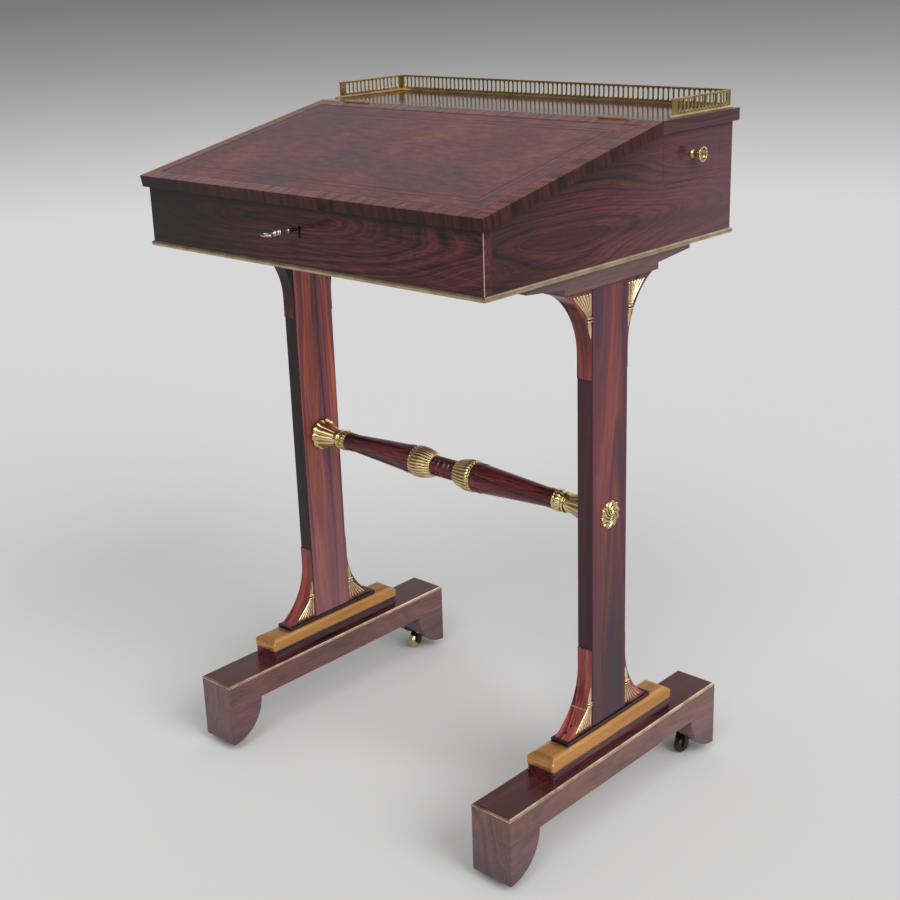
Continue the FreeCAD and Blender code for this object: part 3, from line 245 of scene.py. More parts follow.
def brass(name, colour, roughness, tarnish, grain_mm=3.0, brushed=(1.0, 1.0, 1.0), metallic=1.0,
          hollow_mm=3.0, eased_mm=0.3):
    """Lacquered brass: a warm metal, bright on the high places, browner where the lacquer has
    aged, dark in the hollows from patina and painted shade, and worn round along its edges."""
    material, add = new_material(name)
    place = add("ShaderNodeTexCoord").outputs["Object"]
    spot = add("ShaderNodeMapping", place, Scale=brushed)
    age = add("ShaderNodeTexNoise", spot, Scale=45.0, Detail=4.0, Roughness=0.6)
    aged = ramp_stops(add("ShaderNodeValToRGB", age), [(0.38, 0.0), (0.72, 0.75)])
    base = add("ShaderNodeMix", aged, rgba(colour), tarnish, data_type="RGBA")
    # Patina and painted shade: the hollows, found by occlusion, turn dark brown.
    open_share = add("ShaderNodeAmbientOcclusion", samples=16, only_local=True,
                     Distance=hollow_mm * MM).outputs["AO"]
    patina_and_shade = add("ShaderNodeMapRange", open_share, 0.35, 0.75, 0.85, 0.0)
    base = add("ShaderNodeMix", patina_and_shade, base, "2A1E10", data_type="RGBA")
    grain = add("ShaderNodeTexNoise", spot, Scale=1000 / grain_mm, Detail=3.0, Roughness=0.6)
    rough = add("ShaderNodeMapRange", grain, 0.0, 1.0, roughness * 0.75, roughness * 1.35)
    eased = add("ShaderNodeBevel", samples=4, Radius=eased_mm * MM)
    bump = add("ShaderNodeBump", Height=grain, Normal=eased, Strength=0.05, Distance=0.0002)
    shader = add("ShaderNodeBsdfPrincipled", Base_Color=base, Roughness=rough, Normal=bump,
                 Metallic=metallic)
    add("ShaderNodeOutputMaterial", shader)
    return material


def filed_metal(name, colour, roughness):
    """Plain iron or steel, filed and lightly oiled: grey with a fine directionless scratch."""
    material, add = new_material(name)
    place = add("ShaderNodeTexCoord").outputs["Object"]
    grain = add("ShaderNodeTexNoise", place, Scale=900.0, Detail=3.0)
    mask = ramp_stops(add("ShaderNodeValToRGB", grain), [(0.35, 0.75), (0.65, 1.0)])
    base = add("ShaderNodeMix", 1.0, colour, mask, data_type="RGBA", blend_type="MULTIPLY")
    bump = add("ShaderNodeBump", Height=grain, Strength=0.1, Distance=0.0001)
    shader = add("ShaderNodeBsdfPrincipled", Base_Color=base, Normal=bump, Metallic=1.0,
                 Roughness=roughness)
    add("ShaderNodeOutputMaterial", shader)
    return material


def waxed_mahogany(name, stretch):
    """The plain secondary wood inside: mid brown, straight grain with short dark pores, waxed to a
    low sheen."""
    material, add = new_material(name)
    place = add("ShaderNodeTexCoord").outputs["Object"]
    spot = add("ShaderNodeMapping", place, Scale=[1.0 / s for s in stretch])
    band = add("ShaderNodeTexNoise", spot, Scale=55.0, Detail=4.0, Roughness=0.55, Distortion=0.4)
    pore = add("ShaderNodeTexNoise", spot, Scale=700.0, Detail=2.0)
    base = ramp_stops(add("ShaderNodeValToRGB", band),
                      [(0.3, "5B3522"), (0.5, "7A4A30"), (0.7, "8C5A3B")])
    mask = ramp_stops(add("ShaderNodeValToRGB", pore), [(0.32, 0.6), (0.5, 1.0)])
    colour = add("ShaderNodeMix", 0.8, base, mask, data_type="RGBA", blend_type="MULTIPLY")
    bump = add("ShaderNodeBump", Height=pore, Strength=0.2, Distance=0.0003)
    shader = add("ShaderNodeBsdfPrincipled", Base_Color=colour, Normal=bump, Roughness=0.5,
                 IOR=1.5)
    add("ShaderNodeOutputMaterial", shader)
    return material


def lid_place(add):
    """Coordinates on the lid in metres: x across it from its middle, y down the slope from the
    hinge (negative), z out of it."""
    hinge = Vector((STRETCHER.x, HINGE_Y, SHELF_HIGH.z)) * MM
    turned = Matrix.Rotation(-LID_SLOPE, 3, "X") @ hinge
    return add("ShaderNodeMapping", add("ShaderNodeTexCoord").outputs["Object"],
               Rotation=(-LID_SLOPE, 0, 0), Location=-turned)


def edge_distance(add, vector, half_x, near_y, far_y):
    """Distances in from a rectangle's side edges and from its front and back edges."""
    parts = add("ShaderNodeSeparateXYZ", vector)
    found = []
    for axis, middle, half in (("X", 0.0, half_x),
                               ("Y", (near_y + far_y) / 2, abs(near_y - far_y) / 2)):
        away = distance_from(add, parts.outputs[axis], middle)
        found.append(add("ShaderNodeMath", half, away, operation="SUBTRACT"))
    return found


def crossbanding(name, ground, line, streak, half_x, near_y, far_y):
    """Rosewood laid with its grain across the border, so the stripes run from the inside of the
    border to its edge. The facing below is painted darker as shade, most at its left end."""
    material, add = new_material(name)
    vector = lid_place(add)
    side, end = edge_distance(add, vector, half_x, near_y, far_y)
    drawn, other_log, painted_shade_below = 0.09, (0.37, 0.11, 0.0), -0.4 * MM
    on_side = add("ShaderNodeMath", side, end, operation="LESS_THAN")
    by_x = add("ShaderNodeMapping", vector, Scale=(1.0, drawn, drawn))
    by_y = add("ShaderNodeMapping", vector, Scale=(drawn, 1.0, drawn), Location=other_log)
    spot = add("ShaderNodeMix", on_side, by_x, by_y, data_type="VECTOR")
    coarse = add("ShaderNodeTexNoise", spot, Scale=95.0, Detail=4.0, Roughness=0.7)
    fine = add("ShaderNodeTexNoise", spot, Scale=700.0, Detail=2.0)
    base = ramp_stops(add("ShaderNodeValToRGB", coarse),
                      [(0.34, line), (0.46, ground), (0.58, streak), (0.64, ground),
                       (0.74, streak)])
    mask = ramp_stops(add("ShaderNodeValToRGB", fine), [(0.32, 0.6), (0.6, 1.08)])
    colour = add("ShaderNodeMix", 0.8, base, mask, data_type="RGBA", blend_type="MULTIPLY")
    # Painted shade: below the top the facing is tinted near black, most at its left end.
    parts = add("ShaderNodeSeparateXYZ", vector)
    facing = add("ShaderNodeMath", parts.outputs["Z"], painted_shade_below, operation="LESS_THAN")
    shade = add("ShaderNodeMapRange", parts.outputs["X"], -half_x, -half_x * 0.3, 0.97, 0.72)
    facing = add("ShaderNodeMath", facing, shade, operation="MULTIPLY")
    colour = add("ShaderNodeMix", facing, colour, "12090A", data_type="RGBA")
    shader = add("ShaderNodeBsdfPrincipled", Base_Color=colour, Roughness=0.15, IOR=1.47,
                 Specular_IOR_Level=0.22)
    add("ShaderNodeOutputMaterial", shader)
    return material


# A tooled line is (millimetres in from the leather's edge, half width, colour, share)
GILT, BLIND = ("80503A", 0.5), ("2C1B1C", 0.7)
TOOLED_LINES = ((3.5, 0.6) + BLIND, (5.8, 0.6) + GILT, (21.5, 0.7) + BLIND, (24.0, 0.6) + GILT,
                (30.0, 0.7) + BLIND)
STAMP_ROW_MM, STAMP_ROW_HALF_MM, STAMP_SPACING_MM = 27.0, 2.2, 5.0


def tooled_skiver(name, colour, half_x, near_y, far_y):
    """Thin sheepskin, dyed brown and faded unevenly, with blind and gilt lines rolled round it:
    soft sheen, a fine pebbled grain and darker, pressed lines."""
    material, add = new_material(name)
    vector = lid_place(add)
    cloud = add("ShaderNodeTexNoise", vector, Scale=7.0, Detail=6.0, Roughness=0.62,
                Distortion=0.3)
    dyed = ramp_stops(add("ShaderNodeValToRGB", cloud),
                      [(0.32, "443A42"), (0.48, colour), (0.62, "70413C"), (0.72, "584C42")])
    combed = add("ShaderNodeMapping", vector, Scale=(0.4, 1.0, 1.0))
    wear = add("ShaderNodeTexNoise", combed, Scale=120.0, Detail=5.0, Roughness=0.7)
    rubbed = ramp_stops(add("ShaderNodeValToRGB", wear),
                        [(0.32, 0.58), (0.5, 0.95), (0.68, 1.32)])
    base = add("ShaderNodeMix", 1.0, dyed, rubbed, data_type="RGBA", blend_type="MULTIPLY")
    side, end = edge_distance(add, vector, half_x, near_y, far_y)
    inward = add("ShaderNodeMath", side, end, operation="MINIMUM")
    pressed = 0.0
    for offset, half, tint, strength in TOOLED_LINES:
        away = distance_from(add, inward, offset * MM)
        mark = add("ShaderNodeMapRange", away, half * MM, half * 1.8 * MM, 1.0, 0.0,
                   interpolation_type="SMOOTHSTEP")
        share = add("ShaderNodeMath", mark, strength, operation="MULTIPLY")
        base = add("ShaderNodeMix", share, base, tint, data_type="RGBA")
        pressed = add("ShaderNodeMath", pressed, mark, operation="MAXIMUM")
    base = rolled_stamps(add, base, vector, inward)
    pebble = add("ShaderNodeTexVoronoi", vector, Scale=900.0).outputs["Distance"]
    low = add("ShaderNodeMath", pressed, -1.5, pebble, operation="MULTIPLY_ADD")
    bump = add("ShaderNodeBump", Height=low, Strength=0.25, Distance=0.0004)
    shader = add("ShaderNodeBsdfPrincipled", Base_Color=base, Normal=bump, Roughness=0.4,
                 IOR=1.45, Specular_IOR_Level=0.38)
    add("ShaderNodeOutputMaterial", shader)
    return material


def rolled_stamps(add, base, vector, inward):
    """A row of small stamped lozenges between the two innermost lines."""
    cells = add("ShaderNodeVectorMath", vector, operation="SCALE", Scale=1000 / STAMP_SPACING_MM)
    parts = add("ShaderNodeSeparateXYZ", cells)
    waves = [add("ShaderNodeMath", parts.outputs[axis], 0.5, operation="PINGPONG")
             for axis in ("X", "Y")]
    lozenge = add("ShaderNodeMath", *waves, operation="ADD")
    stamp = add("ShaderNodeMapRange", lozenge, 0.25, 0.4, 1.0, 0.0)
    away = distance_from(add, inward, STAMP_ROW_MM * MM)
    row = add("ShaderNodeMath", away, STAMP_ROW_HALF_MM * MM, operation="LESS_THAN")
    share = add("ShaderNodeMath", stamp, row, operation="MULTIPLY")
    share = add("ShaderNodeMath", share, 0.5, operation="MULTIPLY")
    return add("ShaderNodeMix", share, base, "3A2622", data_type="RGBA")


def bracket_wood(name, ground, streak, shadow, marks=()):
    """The brackets' redder wood, drawn out along the upright grain, with painted shade darkening it under
    the case.
    """
    return rosewood(name, (150.0, -90.0, 420.0), (1.0, 1.0, 6.0), ground, "48242C", streak,
                    ring_mm=14.0, mottle=0.2, fades=(("Z", 650.0, 560.0, "140A0E", shadow),),
                    marks=marks)


# How far rosewood's figure is drawn out along each axis, and a mark's directions and axes
ALONG_X, ALONG_Y, UPRIGHT = (7.0, 1.0, 1.0), (1.0, 7.0, 1.0), (1.0, 1.0, 9.0)
ANY_WAY, ALL_AXES, ACROSS_Z = (0.0, 0.0, 0.0), (1.0, 1.0, 1.0), (1.0, 1.0, 0.0)
COLUMN_EDGE = ("Y", STRETCHER.y, COLUMN_HALF_Y - 0.3)
LOWER_WOOD = {"ring_mm": 7.0, "gloss": 0.8, "roughness": 0.22}
# Painted highlights: a thin pale line down each front corner of the case, standing in for the light caught
# by the rounded arris
FRONT_CORNER_HIGHLIGHTS = [((x, CASE_LOW.y, CASE_LOW.z), ANY_WAY, 1.0, ACROSS_Z, 0.8, "A08C86")
                 for x in (CASE_LOW.x, CASE_HIGH.x)]
SCARF_AND_PLUGS = [((251.8, -25.5, 171.0), (0.0, 0.533, 0.846), 0.5, ALL_AXES, 18.0, "A87C76"),
                   ((253.6, -40.5, 152.0), ANY_WAY, 1.0, ALL_AXES, 1.9, "301A24"),
                   ((251.7, -48.7, 145.4), ANY_WAY, 1.0, ALL_AXES, 2.1, "301A24")]

FINISH_MAKERS = {
    "veneer_front": lambda: rosewood(
        "rosewood_veneer_front", (-117.0, -222.0, 784.0), ALONG_X, marks=FRONT_CORNER_HIGHLIGHTS,
        fades=(("X", -250.0, 90.0, "080506", 0.85),
               # Painted shadow: the second fade darkens the top of the front just under the lid's
               # overhanging edge
               ("Z", LID_LOW.z, LID_LOW.z - 12.0, "050304", 0.9))),
    "veneer_side": lambda: rosewood(
        "rosewood_veneer_side", (268.0, -76.0, 771.0), ALONG_Y, None, "1C0E16", "602A2A",
        ring_mm=4.0, mottle=0.4, cloud=0.6,
        # Painted reflection: the first fade turns the sides paler and greyer towards the back, as the polish
        # would mirror the room there at a grazing angle. The second fade darkens them towards the front.
        fades=(("Y", 260.0, -60.0, "644651", 0.5), ("Y", -210.0, 60.0, "12080C", 0.45))),
    "veneer_back": lambda: rosewood("rosewood_veneer_back", (-80.0, 275.0, 800.0), ALONG_X),
    "shelf": lambda: rosewood(
        "rosewood_veneer_shelf", (-60.0, 60.0, 480.0), (9.0, 5.0, 1.0), None, "2C141A", "54262A",
        ring_mm=6.0, mottle=0.3, cloud=0.4, gloss=0.6),
    "left_column": lambda: rosewood(
        "rosewood_left_column", (-300.0, -40.0, 380.0), UPRIGHT, "90505A", "5C384C", "D06C52",
        # Partly darker wood and partly painted shade: the narrow front and back faces are tinted almost
        # black. Painted reflection: the face turns greyer towards the foot, as if mirroring the pale floor.
        ring_mm=16.0, warp_mm=26.0, mottle=0.2, edges=(COLUMN_EDGE + ("10070E", 0.93),),
        fades=(("Z", 120.0, 520.0, "765A60", 0.6),)),
    "right_column": lambda: rosewood(
        "rosewood_right_column", (190.0, 90.0, 420.0), UPRIGHT, "5E3038", "44283A", "7C3E38",
        # Partly darker wood and partly painted shade: the narrow front and back faces are tinted darker,
        # less than on the left column.
        ring_mm=24.0, warp_mm=30.0, mottle=0.2, edges=(COLUMN_EDGE + ("2C1824", 0.8),),
        fades=(("Y", 50.0, 36.0, "2E2030", 0.5), ("Z", 140.0, 520.0, "36282E", 0.75))),
    # Painted shade: the left brackets, on the shaded trestle, darken almost to black under the case, the
    # right ones less.
    "left_bracket": lambda: bracket_wood("rosewood_left_bracket", "6E3636", "904638", 0.97),
    "right_bracket": lambda: bracket_wood("rosewood_right_bracket", "844040", "B05644", 0.45,
                                          SCARF_AND_PLUGS),
    "bar": lambda: rosewood(
        "rosewood_bar_and_feet", (160.0, 30.0, 20.0), ALONG_Y, "643F3C", "4E3036", "75493E",
        # Painted shade: the bars' top faces are tinted a dark red.
        cloud=0.35, edges=(("Z", 0.0, BAR_TOP - 0.4, "34090C", 0.72),), **LOWER_WOOD),
    "bearer": lambda: rosewood(
        "rosewood_bearer", (160.0, 30.0, 620.0), ALONG_Y, "5E3A3C", "482E38", "6C4240",
        cloud=0.3, **LOWER_WOOD),
    "foot": lambda: rosewood(
        "rosewood_feet", (160.0, 30.0, 20.0), ALONG_Y, "5E3C40", "4C3036", "6E4642", cloud=0.3,
        # Painted shade: the feet darken towards the floor.
        fades=(("Z", 10.0, 60.0, "30242A", 0.5),), **LOWER_WOOD),
    "plinth": lambda: rosewood(
        "rosewood_plinth", (160.0, 30.0, 20.0), ALONG_Y, gloss=0.5,
        edges=(("Z", 0.0, CAP_TOP - 0.3, "0B0708", 0.9),)),
    "turning": lambda: rosewood(
        "rosewood_turned", (0.0, 0.0, 380.0), ALONG_X, "5A2A2E", "30171D", "803A34", ring_mm=9.0,
        cloud=0.55),
    "crossbanding": lambda: crossbanding("rosewood_crossbanding_lid", "561F23", "240F12", "7A3A2C",
                                         LID_HALF_X, 0.0, -LID_LENGTH),
    "leather": lambda: tooled_skiver("tooled_brown_skiver", desk_colours().leather,
                                     LID_HALF_X - BAND, -BAND, BAND - LID_LENGTH),
    "brass": lambda: brass("polished_lacquered_brass", desk_colours().brass, 0.2, "A88C58"),
    "gallery_brass": lambda: brass("lacquered_gallery_brass", "BCA26A", 0.26, "7E6638",
                                   hollow_mm=1.2),
    "rosette_brass": lambda: brass("brass_rosette", "E4CE9E", 0.18, "A08252", 12.0,
                                   hollow_mm=1.6),
    "fan_brass": lambda: brass("brass_fan_mounts", "ECD6AC", 0.22, "B0905E", 12.0,
                               hollow_mm=2.8),
    "knob_brass": lambda: brass("brass_knob", "D2B884", 0.22, "8E7040", hollow_mm=12.0),
    "moulding": lambda: brass("lacquered_brass_strip", "BAA888", 0.3, "94785A", hollow_mm=0.5),
    "bead": lambda: brass("polished_brass_bead", "E6CCB0", 0.2, "8E6850", hollow_mm=0.6),
    "aged_brass": lambda: brass("aged_brass", "A88A6C", 0.4, "846A54", metallic=0.5,
                                hollow_mm=0.5),
    "dark_brass": lambda: brass("bronzed_brass", "3C3424", 0.4, "1C1A14", metallic=0.6),
    "cap": lambda: brass("satin_gilt_brass", "CC9458", 0.26, "945E2E", brushed=(1.0, 0.1, 1.0),
                         metallic=0.7, eased_mm=3.0),
    "steel": lambda: filed_metal("filed_steel", "B4AEA4", 0.28),
    "iron": lambda: filed_metal("black_iron", "4A4744", 0.5),
    "mahogany": lambda: waxed_mahogany("waxed_mahogany_boards", (9.0, 1.0, 1.0)),
}
FINISHES = {}


def finish(name):
    """A material by its short name, made when first asked for."""
    if name not in FINISHES:
        FINISHES[name] = FINISH_MAKERS[name]()
    return FINISHES[name]


# ---- Building pieces ----


def dress(material, *nodes):
    """Gives carried-over pieces their material."""
    for node in nodes:
        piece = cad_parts[node]
        for slot in piece.material_slots:
            slot.material = finish(material)
        if not piece.material_slots:
            piece.data.materials.append(finish(material))


def linked(name, data):
    """A new object with its data, in the scene."""
    made = bpy.data.objects.new(name, data)
    bpy.context.scene.collection.objects.link(made)
    return made


def shade_smooth(mesh, sharp_angle=40.0):
    """Smooth shading, with the edges kept sharp that turn by more than an angle in degrees."""
    for polygon in mesh.polygons:
        polygon.use_smooth = True
    mesh.set_sharp_from_angle(angle=math.radians(sharp_angle))


def make_piece(name, points, faces, material, sharp_angle=40.0):
    """A new mesh piece from points in millimetres of the frame."""
    mesh = bpy.data.meshes.new(name)
    mesh.from_pydata([tuple(Vector(p) * MM) for p in points], [], faces)
    shell = bmesh.new()
    shell.from_mesh(mesh)
    bmesh.ops.remove_doubles(shell, verts=shell.verts, dist=1e-6)
    bmesh.ops.recalc_face_normals(shell, faces=shell.faces)
    shell.to_mesh(mesh)
    shell.free()
    mesh.validate()
    shade_smooth(mesh, sharp_angle)
    mesh.materials.append(finish(material))
    return linked(name, mesh)


def join_meshes(parts):
    """(points, faces) lists joined into one."""
    points, faces = [], []
    for part_points, part_faces in parts:
        start = len(points)
        points += part_points
        faces += [tuple(index + start for index in face) for face in part_faces]
    return points, faces


def joined_piece(name, pieces):
    """Several pieces joined into one, with the first one's material."""
    shell = bmesh.new()
    for piece in pieces:
        shell.from_mesh(piece.data)
    mesh = bpy.data.meshes.new(name)
    shell.to_mesh(mesh)
    shell.free()
    mesh.materials.append(pieces[0].data.materials[0])
    for piece in pieces:
        bpy.data.objects.remove(piece)
    shade_smooth(mesh)
    return linked(name, mesh)


def turns(count):
    """The angles of equal steps round a full turn."""
    return [2 * math.pi * step / count for step in range(count)]


def grid_faces(rows, columns, closed_rows=False, closed_columns=False):
    """Quads between rows of points."""
    faces = []
    for row in range(rows if closed_rows else rows - 1):
        for column in range(columns if closed_columns else columns - 1):
            near, far = row * columns, ((row + 1) % rows) * columns
            after = (column + 1) % columns
            faces.append((near + column, near + after, far + after, far + column))
    return faces


def end_faces(points, count):
    """The flat faces that close the first and the last row of points."""
    return [tuple(range(count)), tuple(range(len(points) - 1, len(points) - count - 1, -1))]


def turned_shell(stations, sides, radius_at, axis_y, axis_z, mirror=False, closed=False):
    """A shell turned about a line along X. radius_at(station, angle) gives the radius in mm. A
    closed shell runs back inside itself, and an open one is closed at its poles."""
    middle = STRETCHER.x
    places = [middle - (s[0] - middle) if mirror else s[0] for s in stations]
    points = []
    for x, station in zip(places, stations):
        for angle in turns(sides):
            radius = radius_at(station, angle)
            points.append((x, axis_y + radius * math.cos(angle), axis_z + radius * math.sin(angle)))
    faces = grid_faces(len(stations), sides, closed_rows=closed, closed_columns=True)
    if not closed:
        for row in (0, len(stations) - 1):
            start, pole = row * sides, len(points)
            points.append((places[row], axis_y, axis_z))
            faces += [(start + side, start + (side + 1) % sides, pole) for side in range(sides)]
    return points, faces


def smooth_profile(stations, steps):
    """More stations between the given ones, on a smooth curve through them. A repeated position
    keeps its corner."""
    result = []
    last = len(stations) - 1
    for index in range(last):
        near = [stations[min(max(index + shift, 0), last)] for shift in (-1, 0, 1, 2)]
        for t in [step / steps for step in range(steps)]:
            result.append(tuple(
                0.5 * ((2 * b) + (c - a) * t + (2 * a - 5 * b + 4 * c - d) * t * t
                       + (3 * b - a - 3 * c + d) * t ** 3) for a, b, c, d in zip(*near)))
    return result + [stations[-1]]


def lobe(angle, count, sharpness=0.55):
    """A row of rounded lobes: 1 on a lobe's crest and 0 in the groove."""
    return abs(math.cos(count * angle / 2)) ** sharpness


def half_round(path, widths, heights, up, sides=6):
    """A closed half-round strip along a path. Widths are half widths, and up is what its flat
    back faces away from."""
    points = []
    count, row = len(path), sides + 1
    for index, centre in enumerate(path):
        ahead = path[min(index + 1, count - 1)] - path[max(index - 1, 0)]
        across = ahead.cross(up).normalized()
        for angle in [math.pi * side / sides for side in range(row)]:
            points.append(tuple(centre + across * widths[index] * math.cos(angle)
                                + up * heights[index] * math.sin(angle)))
    backs = [(index * row, (index + 1) * row, (index + 2) * row - 1, (index + 1) * row - 1)
             for index in range(count - 1)]
    return points, grid_faces(count, row) + backs + end_faces(points, row)


def block_mesh(low, high):
    """The corners and the faces of a plain block."""
    corners = [(x, y, z) for x in (low[0], high[0]) for y in (low[1], high[1])
               for z in (low[2], high[2])]
    return corners, [(0, 1, 3, 2), (4, 6, 7, 5), (0, 4, 5, 1), (2, 3, 7, 6), (0, 2, 6, 4),
                     (1, 5, 7, 3)]


def pattern_tree(name, material, line):
    """A node tree that repeats a piece along a line, with the count, start and step as its
    inputs, or round a circle about the X axis, with the count, radius and place."""
    tree = bpy.data.node_groups.new(name, "GeometryNodeTree")
    add = partial(add_node, tree)
    sizes = {"Start": "Vector", "Step": "Vector"} if line else {"Radius": "Float", "Place": "Vector"}
    keys = {}
    for label, kind in {"Geometry": "Geometry", "Count": "Int", **sizes}.items():
        socket = tree.interface.new_socket(label, in_out="INPUT", socket_type="NodeSocket" + kind)
        keys[label] = socket.identifier
    tree.interface.new_socket("Geometry", in_out="OUTPUT", socket_type="NodeSocketGeometry")
    given = add("NodeGroupInput").outputs
    if line:
        points = add("GeometryNodeMeshLine", Count=given["Count"], Start_Location=given["Start"],
                     Offset=given["Step"])
    else:
        circle = add("GeometryNodeMeshCircle", Vertices=given["Count"], Radius=given["Radius"])
        points = add("GeometryNodeTransform", circle, Translation=given["Place"],
                     Rotation=(0.0, math.pi / 2, 0.0))
    placed = add("GeometryNodeInstanceOnPoints", points, Instance=given["Geometry"])
    solid = add("GeometryNodeRealizeInstances", placed)
    welded = add("GeometryNodeMergeByDistance", solid, Distance=1e-6)
    coloured = add("GeometryNodeSetMaterial", welded, Material=material)
    add("NodeGroupOutput", coloured)
    return tree, keys


def baked(piece, tree, values):
    """Runs a node tree on a piece and leaves the result as the piece's plain mesh."""
    modifier = piece.modifiers.new("pattern", "NODES")
    modifier.node_group = tree
    for identifier, value in values.items():
        modifier[identifier] = value
    graph = bpy.context.evaluated_depsgraph_get()
    mesh = bpy.data.meshes.new_from_object(piece.evaluated_get(graph))
    piece.modifiers.remove(modifier)
    old = piece.data
    piece.data = mesh
    bpy.data.meshes.remove(old)
    shade_smooth(mesh)
    return piece


def bead_ring(name, count, radius, bead_radius, place):
    """A ring of brass beads round a line along X."""
    mesh = bpy.data.meshes.new(name)
    shell = bmesh.new()
    bmesh.ops.create_uvsphere(shell, u_segments=8, v_segments=6, radius=bead_radius * MM)
    shell.to_mesh(mesh)
    shell.free()
    mesh.materials.append(finish("brass"))
    tree, keys = pattern_tree(name, finish("brass"), line=False)
    return baked(linked(name, mesh), tree, {keys["Count"]: count, keys["Radius"]: radius * MM,
                                            keys["Place"]: tuple(Vector(place) * MM)})


# ---- Gallery ----

# Sizes of the gallery's plate and rail, in millimetres
PLATE, EASE = 1.2, 0.25
RAIL_HALF, RAIL_HEIGHT, RAIL_ROUND_SHARE = 1.4, 1.6, 0.55
SLOT_FOOT, SLOT_BELOW_RAIL = 2.2, 0.7
BACK_PLAIN, RETURN_PLAIN_FRONT, RETURN_PLAIN_BACK = 4.0, 8.0, 2.2


def slot_cell(pitch, width, height, low, high):
    """One period of the pierced plate: half a post to each side of a round-ended slot, with its
    edges eased. Drawn in x and z about x = 0."""
    radius, half, depth, steps = width / 2, pitch / 2, PLATE / 2, 8
    middle, straight = (low + high) / 2, (high - low) / 2 - radius + 0.01
    inner = []
    for end, start in ((high - radius, 0.0), (low + radius, math.pi)):
        for angle in [start + math.pi * step / steps for step in range(steps + 1)]:
            inner.append((radius * math.cos(angle), end + radius * math.sin(angle)))

    def opened(y, grow):
        return [(x * (1 + grow / radius), y,
                 z if abs(z - middle) < straight else z + math.copysign(grow, z - middle))
                for x, z in inner]

    outer = []
    for x, z in inner:
        if abs(z - middle) < straight:
            outer.append((math.copysign(half, x), z))
        else:
            outer.append((x / radius * half, height if z > middle else 0.0))
    loops = [opened(-depth + EASE, 0.0), opened(-depth, EASE)]
    loops += [[(x, y, z) for x, z in outer] for y in (-depth, depth)]
    loops += [opened(depth, EASE), opened(depth - EASE, 0.0)]
    return sum(loops, []), grid_faces(len(loops), len(inner), True, True)


def rail_mesh(start, end, top):
    """A half-round rail along X about y = 0."""
    steps, round_part = 8, RAIL_HEIGHT * RAIL_ROUND_SHARE
    section = [(-RAIL_HALF, top - RAIL_HEIGHT), (RAIL_HALF, top - RAIL_HEIGHT)]
    for angle in [math.pi * step / steps for step in range(steps + 1)]:
        section.append((RAIL_HALF * math.cos(angle), top - round_part + round_part * math.sin(angle)))
    points = [(x, y, z) for x in (start, end) for y, z in section]
    return points, grid_faces(2, len(section), closed_columns=True) + end_faces(points, len(section))


class DeskGallery(bpy.types.Operator):
    """Builds the pierced brass gallery: a back run and two returns, with eased slots and a
    half-round rail"""
    bl_idname = "desk.gallery"
    bl_label = "Pierced gallery"

    def execute(self, context):
        low, high = box_mm("gallery_back")
        side_low, side_high = box_mm("gallery_returns")
        place = Matrix.Translation(Vector((0, (low.y + high.y) / 2, low.z)) * MM)
        runs = [(low.x, high.x, BACK_PLAIN, BACK_PLAIN, place)]
        for side in (side_low.x + RAIL_HALF, side_high.x - RAIL_HALF):
            place = Matrix.Translation(Vector((side, 0, low.z)) * MM)
            runs.append((side_low.y, side_high.y, RETURN_PLAIN_FRONT, RETURN_PLAIN_BACK,
                         place @ Matrix.Rotation(math.pi / 2, 4, "Z")))
        pattern = pattern_tree("slots along a run", finish("gallery_brass"), line=True)
        pieces = [self.run(context.scene.desk_sizes, pattern, high.z - low.z, *run)
                  for run in runs]
        gallery = joined_piece("pierced_gallery", pieces)
        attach(gallery, "stand")
        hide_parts("gallery_back", "gallery_returns")
        dress("moulding", "gallery_base")
        return {"FINISHED"}

    def run(self, sizes, pattern, height, start, end, plain_start, plain_end, place):
        """A straight run along X, moved to its place: the slots, two plain ends and the rail."""
        pitch, width = sizes.slot_pitch / MM, sizes.slot_width / MM
        slots_start, slots_end = start + plain_start, end - plain_end
        count = int((slots_end - slots_start + pitch - width) // pitch)
        first = (slots_start + slots_end) / 2 - (count - 1) * pitch / 2
        top = height - RAIL_HEIGHT / 2
        slot_top = height - RAIL_HEIGHT - SLOT_BELOW_RAIL
        cells = make_piece("cells", *slot_cell(pitch, width, top, SLOT_FOOT, slot_top),
                           "gallery_brass")
        tree, keys = pattern
        baked(cells, tree, {keys["Count"]: count, keys["Start"]: (first * MM, 0.0, 0.0),
                            keys["Step"]: (pitch * MM, 0.0, 0.0)})
        self.open_posts(cells.data, first, pitch, count)
        half = PLATE / 2
        solids = [block_mesh((start, -half, 0.0), (first - pitch / 2, half, top)),
                  block_mesh((first + (count - 0.5) * pitch, -half, 0.0), (end, half, top)),
                  rail_mesh(start, end, height)]
        ends = make_piece("ends", *join_meshes(solids), "gallery_brass")
        made = joined_piece("run", [cells, ends])
        made.data.transform(place)
        return made

    def open_posts(self, mesh, first, pitch, count):
        """Deletes the faces inside the posts, where two cells meet."""
        shell = bmesh.new()
        shell.from_mesh(mesh)
        inside, near = [], 0.01
        for face in shell.faces:
            cell = (face.calc_center_median().x / MM - first) / pitch
            at_joint = abs(cell % 1.0 - 0.5) < near and -0.5 + near < cell < count - 0.5 - near
            if at_joint and abs(face.normal.x) > 1.0 - near:
                inside.append(face)
        bmesh.ops.delete(shell, geom=inside, context="FACES")
        shell.to_mesh(mesh)
        shell.free()


# ---- Stretcher mounts ----

# The collars' beads, in millimetres: where they stand from the stretcher's middle, the ring's
# radius and a bead's radius
COLLAR_BEADS_X, COLLAR_BEADS_RING, COLLAR_BEAD = 53.2, 20.2, 1.3


